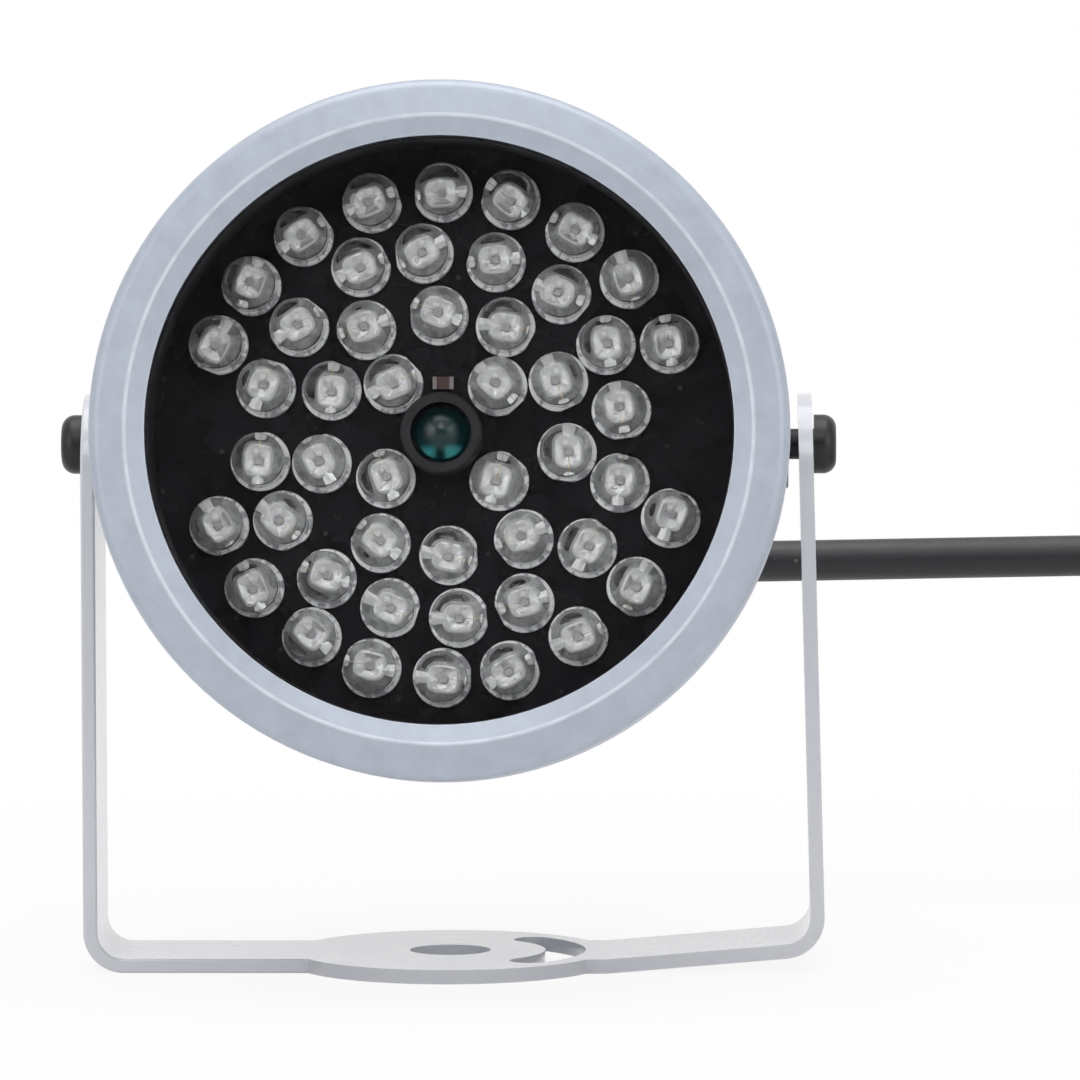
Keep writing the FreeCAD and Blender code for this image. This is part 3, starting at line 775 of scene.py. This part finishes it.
@dataclass
class Studio:
    """The white floor, the white surroundings, dim behind the camera, and the softboxes."""

    floor_reach: float = 6.0
    floor_level: float = -0.00002
    shadow_share: float = 0.1
    shadow_near: float = 0.05
    shadow_far: float = 0.2
    ambient: float = 0.26
    dim_direction: Point = (0.0, -0.985, 0.17)
    dim_range: tuple[float, float] = (0.80, 0.94)
    dim_level: float = 0.02
    softboxes: tuple[Softbox, ...] = (
        Softbox("top_softbox", (0.0, 0.0, 0.85), 0.8, 0.7, 4.9),
        Softbox("left_softbox", (-0.66, -0.66, 0.3), 0.6, 0.6, 1.5),
        Softbox("right_softbox", (0.66, -0.66, 0.3), 0.6, 0.6, 1.65),
        Softbox("front_softbox", (0.0, -0.75, 0.62), 0.35, 0.35, 1.2),
    )

    def build(self) -> None:
        """Makes the floor, the surroundings and the lights."""
        bpy.context.scene.view_settings.view_transform = "Standard"
        self._floor()
        self._surroundings()
        for softbox in self.softboxes:
            softbox.build()

    def _floor(self) -> None:
        """A level white sheet, seen as white with the object's soft shadow."""
        reach, level = self.floor_reach, self.floor_level
        mesh = bpy.data.meshes.new("floor")
        corners = [(x * reach, y * reach, level) for x, y in ((-1, -1), (1, -1), (1, 1), (-1, 1))]
        mesh.from_pydata(corners, [], [(0, 1, 2, 3)])
        floor = new_object("floor", mesh)
        pale = (0.9, 0.9, 0.9)
        material, tree, shader = new_material("floor_white", Base_Color=pale, Roughness=0.9)
        white = tree.add("ShaderNodeEmission", {"Color": WHITE, "Strength": 1.0})
        away = tree.measure("LENGTH", tree.coordinates())
        whiteness = tree.span(away, self.shadow_near, self.shadow_far, 1 - self.shadow_share, 1.0)
        path = tree.add("ShaderNodeLightPath")
        seen = tree.math("ADD", path.outputs["Is Camera Ray"], tree.through(path), clamp=True)
        tree.show_mixed(tree.math("MULTIPLY", seen, whiteness), shader, white)
        paint(floor, material)

    def _surroundings(self) -> None:
        """White for the camera; mirrored, dim round the camera's direction; as a light, ambient."""
        world = bpy.data.worlds.new("white_studio")
        bpy.context.scene.world = world
        world.use_nodes = True
        tree = Tree(world.node_tree)
        toward = tree.measure("DOT_PRODUCT", tree.coordinates("Generated"), self.dim_direction)
        dim = tree.math("MULTIPLY", tree.span(toward, *self.dim_range), self.dim_level - 1.0)
        mirrored = tree.math("ADD", 1.0, dim)
        path = tree.add("ShaderNodeLightPath")
        share = tree.math("MULTIPLY", tree.through(path), 1.0 - self.ambient)
        blended = tree.math("MULTIPLY", mirrored, tree.math("ADD", self.ambient, share))
        light = world.node_tree.nodes["Background"]
        tree.feed(light.inputs["Color"], WHITE)
        strength = tree.math("MAXIMUM", path.outputs["Is Camera Ray"], blended)
        tree.feed(light.inputs["Strength"], strength)
        tree.feed(world.node_tree.nodes["World Output"].inputs["Surface"], light.outputs[0])


@dataclass
class SupplyCable:
    """The black supply cable, from the gland round to its coil and on to the socket.

    The route's points are those of the CAD tube.
    """

    diameter: float = 4.3 * MM
    length: float = 0.486
    route: tuple[Point, ...] = (
        (0.0, 0.0285, 0.03742),
        (0.0, 0.0414, 0.03584),
        (0.0065, 0.0527, 0.0351),
        (0.0186, 0.0597, 0.03465),
        (0.0446, 0.0610, 0.0350),
        (0.0573, 0.0610, 0.03522),
        (0.0706, 0.0610, 0.03545),
        (0.0824, 0.0609, 0.0294),
        (0.0894, 0.0607, 0.0183),
        (0.1002, 0.0606, 0.0128),
    )
    coil_centre: tuple[float, float] = (0.1125, 0.0381)
    coil_radius: float = 0.0225
    coil_turns: float = 2.25
    coil_top: float = 0.0124375
    coil_base: float = 0.00265
    points_per_turn: int = 16
    tail: tuple[Point, ...] = (
        (0.135, 0.0291, 0.00265),
        (0.135, 0.0196, 0.005),
        (0.135, 0.0111, 0.005),
    )
    sides: int = 20
    bend_from: Point = (0.006, 0.05, 0.035)
    bend_to: Point = (0.070, 0.05, 0.035)
    vinyl: Colour = (0.0105, 0.011, 0.014)
    dust: Colour = (0.4, 0.39, 0.38)
    line_stretch: Point = (2.0, 60.0, 1.0)
    line_depth: float = 0.03 * MM

    def coil_points(self) -> list[Point]:
        """Control points of the coil, clockwise from above, on a polygon round the turns' circle.

        The spline touches the middle of each side, so the corners stand at radius / cos(half a
        step), the first one half a step past the place where the route meets the circle.
        """
        step = 2 * math.pi / self.points_per_turn
        count = int(self.points_per_turn * self.coil_turns)
        k = np.arange(count) + 0.5
        angle = math.pi / 2 - k * step
        reach = self.coil_radius / math.cos(step / 2)
        height = self.coil_top + (self.coil_base - self.coil_top) * k / count
        x = self.coil_centre[0] + reach * np.cos(angle)
        y = self.coil_centre[1] + reach * np.sin(angle)
        return list(zip(x.tolist(), y.tolist(), height.tolist()))

    def centreline(self) -> Array:
        """Points along the cable's NURBS spline, from the gland to the socket."""
        curve = bpy.data.curves.new("cable_line", "CURVE")
        curve.dimensions = "3D"
        curve.resolution_u = 10
        spline = curve.splines.new("NURBS")
        points = [*self.route, *self.coil_points(), *self.tail]
        spline.points.add(len(points) - 1)
        for place, point in zip(spline.points, points):
            place.co = (*point, 1.0)
        spline.order_u = 3
        spline.use_endpoint_u = True
        carrier = bpy.data.objects.new("cable_line", curve)
        mesh = bpy.data.meshes.new_from_object(carrier)
        line = np.array([v.co for v in mesh.vertices], float)
        bpy.data.meshes.remove(mesh)
        bpy.data.objects.remove(carrier)
        bpy.data.curves.remove(curve)
        return line

    def material(self, effects: Effects) -> Material:
        """Charcoal vinyl with fine lengthwise drawing lines, from the piece's own UV map."""
        material, tree, shader = new_material("cable_vinyl")
        grain = effects.grained(tree, self.vinyl, scale=5200.0, cloud=0.3, roughness=0.42)
        inputs = {"Vector": tree.coordinates("UV"), "Scale": self.line_stretch}
        lines = tree.noise(tree.add("ShaderNodeMapping", inputs).outputs[0], 3.0)
        height = tree.math("ADD", tree.math("MULTIPLY", grain["Height"], 0.4), lines)
        colour = effects.dusted(tree, grain["Colour"], self.dust, 900.0, share=0.02, cover=0.25)
        lay_on(tree, shader, colour, grain["Roughness"], height, self.line_depth)
        return material

    def build(self, effects: Effects) -> Piece:
        """Makes the cable along its centreline, from the head's gland round the coil to the socket.
        """
        line = self.centreline()
        patch = tube_along(line, self.diameter / 2, self.sides, (0.0, 0.0, 1.0))
        cable = mesh_piece("supply_cable", patch)
        self._unwrap(cable, line)
        paint(cable, self.material(effects))
        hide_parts("power_cable", "cable_coil", "cable_tail")
        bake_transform(cable)
        return cable

    def _unwrap(self, cable: Piece, line: Array) -> None:
        """UV map of the tube: u is the length along the line over its whole, v the share round it.

        A face's corner on the seam takes v = 1 where its neighbours are past one half.
        """
        steps = np.linalg.norm(np.diff(line, axis=0), axis=1)
        along = np.concatenate([[0.0], np.cumsum(steps)]) / steps.sum()
        mesh = cable.data
        corner = np.zeros(len(mesh.loops), int)
        mesh.loops.foreach_get("vertex_index", corner)
        rows = np.minimum(corner // self.sides, len(line) - 1)
        v = (corner % self.sides) / self.sides
        starts = np.zeros(len(mesh.polygons), int)
        mesh.polygons.foreach_get("loop_start", starts)
        corners = np.diff(starts, append=len(corner))
        highest = np.repeat(np.maximum.reduceat(v, starts), corners)
        v = np.where((highest > 0.5) & (v == 0), 1.0, v)
        layer = mesh.uv_layers.new(name="UVMap")
        layer.data.foreach_set("uv", np.stack([along[rows], v], axis=1).astype(np.float32).ravel())


@dataclass
class LampField:
    """The clear lamps: their moulded lenses and, inside each, the lead frame, cup, die and wire.

    Heights are measured from the board's front. The cup has rows of (radius, height), and the
    neck, the post and the die sections of (x, y, height, half width, half depth), all in
    millimetres. The places come from the CAD node: the points near the tips tell the lamps apart,
    and the shoulder's rim round each gives its centre.
    """

    head: HeadFrame
    body_radius: float = 2.5 * MM
    flange_radius: float = 2.88 * MM
    flange_flat: float = 2.7 * MM
    flange_height: float = 1.0 * MM
    height: float = 8.7 * MM
    lift: float = 0.06 * MM
    clear_base: float = 1.35 * MM
    frosted_height: float = 1.5 * MM
    corner: float = 0.08 * MM
    sides: int = 36
    dome_steps: int = 12
    cup_rows: Rows = (
        (0.3, 3.5), (0.525, 3.7), (0.7, 4.4), (0.7, 4.94), (0.68, 4.97), (0.58, 5.0), (0.14, 4.78)
    )
    cup_squareness: float = 3.2
    cup_stretch: float = 0.06
    cup_side_top: float = 4.95 * MM
    neck: Rows = (
        (-1.27, 0, 0.1, 0.25, 0.25),
        (-1.27, 0, 1.2, 0.25, 0.25),
        (-0.95, 0, 1.7, 0.65, 0.25),
        (-0.95, 0, 4.25, 0.65, 0.25),
        (-1.02, 0, 4.9, 0.5, 0.25),
        (-1.02, 0, 5.0, 0.42, 0.03),
    )
    post: Rows = (
        (1.27, 0, 0.1, 0.25, 0.25),
        (1.27, 0, 1.2, 0.25, 0.25),
        (1.1, 0, 1.7, 0.5, 0.25),
        (1.27, 0, 2.8, 0.36, 0.25),
        (1.27, 0, 5.0, 0.36, 0.25),
        (1.27, 0, 5.1, 0.3, 0.03),
    )
    die: Rows = ((0, 0, 4.78, 0.15, 0.15), (0, 0, 4.93, 0.15, 0.15))
    die_squareness: float = 12.0
    wire_radius: float = 0.0125 * MM
    wire_rise: float = 0.45 * MM
    wander: float = 0.13 * MM
    twist: float = math.radians(24.0)
    tip_search: float = 0.3 * MM
    shoulder_search: float = 0.002 * MM
    rim_search: float = 1.16
    places: Array = field(init=False)
    board_front: float = field(init=False)

    def __post_init__(self) -> None:
        """Finds the lamps' centres on the board from the CAD node."""
        points = self.head.to_head(node_points("infrared_lamps"))
        depth, flat = points[:, 1], points[:, [0, 2]]
        self.board_front = depth.max()
        near_tip = flat[depth < depth.min() + self.tip_search]
        shoulder = self.board_front - (self.height - self.body_radius)
        rim = flat[np.abs(depth - shoulder) < self.shoulder_search]
        rim = np.unique(np.round(rim, 7), axis=0)
        found = []
        while len(near_tip):
            mine = np.linalg.norm(near_tip - near_tip[0], axis=1) < self.body_radius
            middle = (near_tip[mine].min(0) + near_tip[mine].max(0)) / 2
            reach = self.rim_search * self.body_radius
            circle = rim[np.linalg.norm(rim - middle, axis=1) < reach]
            found.append((circle.min(0) + circle.max(0)) / 2)
            near_tip = near_tip[~mine]
        found = np.array(found)
        self.places = found[np.lexsort((found[:, 1], found[:, 0]))]

    def lens(self) -> Patch:
        """One lens, turned from its underside's rim over the flange and the body to its tip.

        The flange is cut to its flat where x would pass it.
        """
        r, f, c, top = self.body_radius, self.flange_radius, self.corner, self.flange_height
        low = self.lift
        foot = [
            (self.clear_base, low),
            (f - c, low),
            (f, low + c),
            (f, top - c),
            (f - c, top),
            (r + 2 * c, top),
            (r + 0.6 * c, top + 0.6 * c),
            (r, top + 2 * c),
            (r, self.frosted_height),
            (r, self.height - r),
        ]
        dome = dome_profile(r, self.height, self.dome_steps)
        patch = turned(np.concatenate([foot, dome]), self.sides)
        patch.points[:, 0] = np.minimum(patch.points[:, 0], self.flange_flat)
        return patch

    def cup(self) -> Patch:
        """The cathode's head: a rounded-square anvil with the reflector cup sunk in its top."""
        wide, deep = 1 + self.cup_stretch, 1 - self.cup_stretch
        sections = [(0, 0, h, wide * r, deep * r) for r, h in self.cup_rows]
        return rounded_bar(np.array(sections) * MM, self.cup_squareness, sides=28)

    def bars(self) -> Patch:
        """The two flat bars of the lead frame, from the legs up: the anvil's neck and the post."""
        return Patch.joined([rounded_bar(np.array(bar) * MM) for bar in (self.neck, self.post)])

    def wire(self) -> Patch:
        """The bond wire, a half wave from the die's top to the post: h = line + rise sin(pi s)."""
        s = np.linspace(0, 1, 13)
        start, end = self.die[-1][2] * MM, self.post[-1][2] * MM
        h = start + (end - start) * s + self.wire_rise * np.sin(math.pi * s)
        path = np.stack([s * self.post[-1][0] * MM, 0 * s, h], axis=1)
        return tube_along(path, self.wire_radius, sides=6, reference=(0.0, 1.0, 0.0))

    def frames(self, wander: float) -> tuple[Array, Array]:
        """The axes and origin of each lamp: across its legs, along its bearing, and forward.

        Args:
            wander: How far the origins may stray sideways, for what is cast inside the lens.

        Returns:
            Axes of shape (count, 3, 3) and origins of shape (count, 3), in the row frame.
        """
        rng = np.random.default_rng(RANDOM_SEED)
        count = len(self.places)
        side = rng.choice([0.0, math.pi], count)
        turn = rng.uniform(-self.twist, self.twist, count) * (wander > 0)
        stray = rng.uniform(-1, 1, (count, 2)) * wander
        angle = np.arctan2(self.places[:, 1], self.places[:, 0]) + math.pi / 2 + side + turn
        u = np.stack([np.cos(angle), 0 * angle, np.sin(angle)], axis=1)
        v = np.stack([-np.sin(angle), 0 * angle, np.cos(angle)], axis=1)
        forward = np.tile([0.0, -1.0, 0.0], (count, 1))
        x, z = (self.places + stray).T
        origins = np.stack([x, np.full(count, self.board_front), z], axis=1)
        axes = np.stack([u, v, forward], axis=1) @ self.head.turn()
        return axes, self.head.to_row(origins)

    def build(self, effects: Effects) -> list[Piece]:
        """Makes the lenses and what they hold."""
        epoxy = ClearFinish(
            "lamp_epoxy_clear", (0.97, 0.975, 0.985), 1.53, 0.015, 900.0, 0.004 * MM
        ).material()
        frosted = ClearFinish(
            "lamp_epoxy_frosted", (0.4, 0.4, 0.42), 1.53, 0.4, 4000.0, 0.012 * MM, 0.05, pale=WHITE
        ).material()
        hazy = ClearFinish(
            "lamp_epoxy_hazy", (0.3, 0.3, 0.31), 1.53, 0.15, 4500.0, 0.01 * MM, 0.92, pale=WHITE
        ).material()
        silver = MetalFinish(
            "lead_frame_silver", (0.6, 0.6, 0.6), 0.42, 3600.0, 0.06 * MM, 0.75,
            over_colour=(0.8, 0.8, 0.79),
        ).material(effects)
        # The anvil's sides take a lighter, less metallic copy of the lead frame's silver with
        # strong mottling: painted light, for the glints and shade that the sides show through the
        # lens.
        lit_side_silver = PaintFinish(
            "anvil_side_lit_silver",
            colour=(0.7, 0.7, 0.69), edge_colour=(0.9, 0.9, 0.9), metallic=0.4, roughness=0.4,
            mottle=2.4, mottle_scale=2800.0, peel_scale=3600.0, peel_depth=0.06 * MM,
            edge_share=0.3,
        ).material(effects)
        grey = MouldedFinish(
            "die_grey", (0.42, 0.41, 0.43), 0.3, 20000.0, 0.001 * MM
        ).material(effects)
        gold = MetalFinish(
            "bond_gold", (0.9, 0.68, 0.3), 0.25, 9000.0, 0.001 * MM, over_colour=(0.95, 0.8, 0.5)
        ).material(effects)
        die = rounded_bar(np.array(self.die) * MM, self.die_squareness)
        made = [
            head_piece(name, patch.moved(*self.frames(wander)), material)
            for name, patch, material, wander, slot in (
                ("lamp_lenses", self.lens(), epoxy, 0.0, "lamp_epoxy"),
                ("lamp_cups", self.cup(), silver, self.wander, "tinned_legs"),
                ("lamp_frames", self.bars(), silver, self.wander, "tinned_legs"),
                ("lamp_dies", die, grey, self.wander, "chip_body"),
                ("lamp_wires", self.wire(), gold, self.wander, "contact_metal"),
            )
        ]
        self._share_out(made[0], self.face_kinds(), frosted, hazy)
        self._share_out(made[1], self.anvil_sides(), lit_side_silver)
        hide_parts("infrared_lamps")
        return made

    def _share_out(self, piece: Piece, kinds: Array, *further: Material) -> None:
        """Gives a piece further materials, shared out by the kind of each face of one copy."""
        for material in further:
            piece.data.materials.append(material)
        kinds = np.tile(kinds.astype(np.int32), len(self.places))
        piece.data.polygons.foreach_set("material_index", kinds)

    def anvil_sides(self) -> Array:
        """One for each face of one cup that lies below the anvil's rounded edge; these faces take
        the lighter silver with its painted light.
        """
        return self.cup().face_tops() < self.cup_side_top

    def face_kinds(self) -> Array:
        """For each face of one lens: 0 clear, 1 frosted (low), or 2 hazy (the base's middle)."""
        one = self.lens()
        reach = np.hypot(one.points[one.faces, 0], one.points[one.faces, 1]).max(1)
        low = one.face_tops() < self.frosted_height + self.corner
        return np.where(low & (reach < self.clear_base + self.corner), 2, low)


@dataclass
class DaylightSensor:
    """The tinted sensor in the middle: its dome, and the dark plate and the leads inside.

    The plate's sections are (x, y, height, half width, half depth), and the leads' rows are their
    last three, in millimetres.
    """

    head: HeadFrame
    board_front: float
    body_radius: float = 2.5 * MM
    flange_radius: float = 2.9 * MM
    flange_height: float = 1.0 * MM
    height: float = 7.4 * MM
    sides: int = 40
    dome_steps: int = 13
    plate: Rows = (
        (0, 0.2, 1.2, 1.2, 0.8),
        (0, 0.2, 3.0, 1.2, 0.8),
        (0, 0.2, 3.05, 0.55, 0.55),
        (0, 0.2, 3.25, 0.55, 0.55),
    )
    lead_places: tuple[float, float] = (-0.62, 0.42)
    lead_drop: float = -0.72
    lead_rows: Rows = ((1.1, 0.22, 0.22), (3.3, 0.34, 0.3), (3.45, 0.2, 0.12))

    def dome(self) -> Patch:
        """The dome's profile turned: flange, body and dome."""
        r, f, top = self.body_radius, self.flange_radius, self.flange_height
        foot = [(f, 0.0), (f, top), (r, top), (r, self.height - r)]
        dome = dome_profile(r, self.height, self.dome_steps)
        return turned(np.concatenate([foot, dome]), self.sides)

    def lead_tops(self) -> Patch:
        """The two leads' flattened tops below the chip, each ending in a small roof."""
        tops = [[(x, self.lead_drop, *row) for row in self.lead_rows] for x in self.lead_places]
        return Patch.joined([rounded_bar(np.array(top) * MM, sides=20) for top in tops])

    def build(self, effects: Effects) -> list[Piece]:
        """Makes the dome, the plate and the leads' tops."""
        teal = ClearFinish(
            "sensor_epoxy_teal", (0.1, 0.5, 0.52), 1.5, 0.2, 700.0, 0.004 * MM, gloss=0.15
        ).material()
        dark = MouldedFinish(
            "sensor_chip", (0.015, 0.05, 0.055), 0.5, 9000.0, 0.002 * MM
        ).material(effects)
        silver = MetalFinish(
            "sensor_lead_silver", (0.88, 0.88, 0.87), 0.4, 9000.0, 0.003 * MM, 0.3,
            over_colour=(0.95, 0.95, 0.94),
        ).material(effects)
        axes = np.array([[[1.0, 0, 0], [0, 0, 1.0], [0, -1.0, 0]]]) @ self.head.turn()
        origin = self.head.to_row(np.array([[0.0, self.board_front, 0.0]]))
        plate = rounded_bar(np.array(self.plate) * MM, squareness=7.0, sides=24)
        made = [
            head_piece(name, patch.moved(axes, origin), material)
            for name, patch, material, slot in (
                ("sensor_dome", self.dome(), teal, "sensor_epoxy"),
                ("sensor_plate", plate, dark, "chip_body"),
                ("sensor_lead_tops", self.lead_tops(), silver, "tinned_legs"),
            )
        ]
        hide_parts("light_sensor")
        return made


# The bezel's light edge colour is thin paint at its edges and a painted highlight along the ridge.
BEZEL_PAINT = PaintFinish(
    "bezel_silver_paint",
    colour=(0.46, 0.505, 0.59), edge_colour=(0.8, 0.83, 0.92), metallic=0.12, roughness=0.38,
    mottle=0.34, mottle_scale=420.0, peel_scale=2600.0, peel_depth=0.012 * MM,
    edge_share=0.45, highlight_ring=RIDGE_RADIUS,
)
HOUSING_PAINT = PaintFinish(
    "housing_silver_paint",
    colour=(0.43, 0.47, 0.55), edge_colour=(0.6, 0.64, 0.72), metallic=0.15, roughness=0.45,
    mottle=0.26, mottle_scale=420.0, peel_scale=2200.0, peel_depth=0.02 * MM,
)
BRACKET_PAINT = PaintFinish(
    "bracket_white_paint",
    colour=(0.68, 0.69, 0.73), edge_colour=(0.76, 0.76, 0.79), metallic=0.0, roughness=0.3,
    mottle=0.05, mottle_scale=260.0, peel_scale=1500.0, peel_depth=0.003 * MM,
    edge_share=0.3, lacquer=1.0,
)
NYLON = MouldedFinish(
    "gland_black_nylon", (0.022, 0.022, 0.024), 0.45, 3500.0, 0.015 * MM, dust_share=0.02
)
RUBBER = MouldedFinish("black_rubber_soft", (0.015, 0.015, 0.016), 0.7, 2500.0, 0.02 * MM)
PLASTIC = MouldedFinish("black_plastic_matt", (0.02, 0.02, 0.023), 0.5, 4000.0, 0.01 * MM)
SLEEVE = MouldedFinish("sleeve_black_tube", (0.009, 0.0075, 0.0105), 0.7, 3000.0, 0.01 * MM)
SOCKET = MouldedFinish(
    "socket_black_vinyl", (0.024, 0.024, 0.026), 0.42, 3200.0, 0.02 * MM, dust_share=0.02
)
TIE = MouldedFinish("tie_black_nylon", (0.018, 0.018, 0.02), 0.4, 3000.0, 0.01 * MM)
JACKET = MouldedFinish("cable_inner_jacket", (0.036, 0.038, 0.042), 0.5, 3000.0, 0.015 * MM)
WIRES = MouldedFinish("wire_jacket_red", (0.35, 0.03, 0.025), 0.4, 4000.0, 0.006 * MM)
CHIPS = MouldedFinish("chip_epoxy", (0.03, 0.03, 0.032), 0.5, 6000.0, 0.006 * MM)
STEEL = (0.042, 0.042, 0.044)
SCREW = MetalFinish(
    "screw_black_steel", STEEL, 0.42, 4000.0, 0.01 * MM, over_colour=(0.2, 0.2, 0.21)
)
TIN = MetalFinish(
    "tinned_copper", (0.72, 0.72, 0.7), 0.35, 5000.0, 0.006 * MM, over_colour=(0.85, 0.85, 0.83)
)
NICKEL = MetalFinish(
    "nickel_plate", (0.66, 0.64, 0.6), 0.22, 4000.0, 0.004 * MM, over_colour=(0.8, 0.78, 0.74)
)
DRESSED = (
    (BEZEL_PAINT, "front_bezel"),
    (HOUSING_PAINT, "housing"),
    (BRACKET_PAINT, "bracket"),
    (SCREW, "pivot_screws"),
    (NYLON, "gland_body gland_nut gland_locknut"),
    (RUBBER, "gland_seal window_gasket"),
    (PLASTIC, "spacer_ring"),
    (SLEEVE, "sensor_sleeve"),
    (SOCKET, "socket_body"),
    (TIE, "coil_tie"),
    (JACKET, "cable_entry"),
    (WIRES, "supply_wires"),
    (TIN, "lamp_legs sensor_legs"),
    (NICKEL, "socket_contact socket_pin"),
    (CHIPS, "current_chips switching_transistor reverse_diode"),
)


@dataclass
class CarriedOver:
    """The CAD nodes that stay as they are and get their finishes."""

    effects: Effects

    def build(self) -> None:
        """Dresses every CAD node that shows."""
        for finish, names in DRESSED:
            material = finish.material(self.effects)
            for name in names.split():
                paint(frame["nodes"][name], material)
        glass = ClearFinish("window_acrylic", (0.985, 0.99, 0.99), 1.49, 0.0, 60.0, 0.002 * MM)
        paint(frame["nodes"]["front_window"], glass.material())
        paint(frame["nodes"]["lamp_board"], self.board_mask())
        paint(frame["nodes"]["front_chip"], self.front_chip())

    def board_mask(self) -> Material:
        """Black solder mask: buried tracks as faint raised bands, and a few dust specks."""
        mask, over_track, speck = (0.010, 0.0085, 0.011), (0.018, 0.016, 0.021), (0.4, 0.4, 0.4)
        bare_share = 0.55
        material, tree, shader = new_material("board_black_mask", Specular_IOR_Level=0.35)
        inputs = {"Vector": tree.coordinates(), "Rotation": (HEAD_TILT_UP, math.pi / 4, 0.0)}
        level = tree.add("ShaderNodeMapping", inputs).outputs[0]
        inputs = {"Vector": level, "Scale": 260.0}
        pours = tree.add("ShaderNodeTexVoronoi", inputs, distance="MANHATTAN").outputs["Color"]
        chosen = tree.add("ShaderNodeSeparateColor", {0: pours}).outputs[0]
        track = tree.math("GREATER_THAN", chosen, bare_share)
        grain = self.effects.grained(tree, mask, scale=3000.0, cloud=0.5, roughness=0.26)
        lifted = tree.mix(tree.math("MULTIPLY", track, 0.5), grain["Colour"], over_track)
        colour = self.effects.dusted(tree, lifted, speck, scale=700.0, share=0.05, cover=0.12)
        lay_on(tree, shader, colour, grain["Roughness"], track, 0.03 * MM)
        return material

    def front_chip(self) -> Material:
        """A small resistor: a reddish-grey body between two tinned ends, split along X; the ends'
        tin is darkened as painted shade.
        """
        # The tinned ends are darker than bare tin: painted shade.
        body, shaded_tin, body_half = (0.10, 0.052, 0.05), (0.4, 0.37, 0.35), 0.62 * MM
        material, tree, shader = new_material("front_chip_resistor")
        across = tree.add("ShaderNodeSeparateXYZ", {0: tree.coordinates()}).outputs[0]
        end = tree.math("GREATER_THAN", tree.math("ABSOLUTE", across), body_half)
        grain = self.effects.grained(tree, body, scale=6000.0, cloud=0.4, roughness=0.45)
        tree.feed(shader.inputs["Metallic"], end)
        colour = tree.mix(end, grain["Colour"], shaded_tin)
        lay_on(tree, shader, colour, grain["Roughness"], grain["Height"], 0.004 * MM)
        return material


def main() -> None:
    """Builds the camera, the cable, the studio and then the head's pieces, and logs each."""
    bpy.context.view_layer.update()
    PhotoCamera().build()
    Studio().build()
    effects = Effects()
    cable = SupplyCable().build(effects)
    log.info("%s: %d faces", cable.name, len(cable.data.polygons))
    head = HeadFrame()
    lamps = LampField(head)
    log.info("found %d lamps", len(lamps.places))
    sensor = DaylightSensor(head, lamps.board_front)
    for piece in lamps.build(effects) + sensor.build(effects):
        log.info("%s: %d faces", piece.name, len(piece.data.polygons))
    CarriedOver(effects).build()


if __name__ == "__main__":
    main()
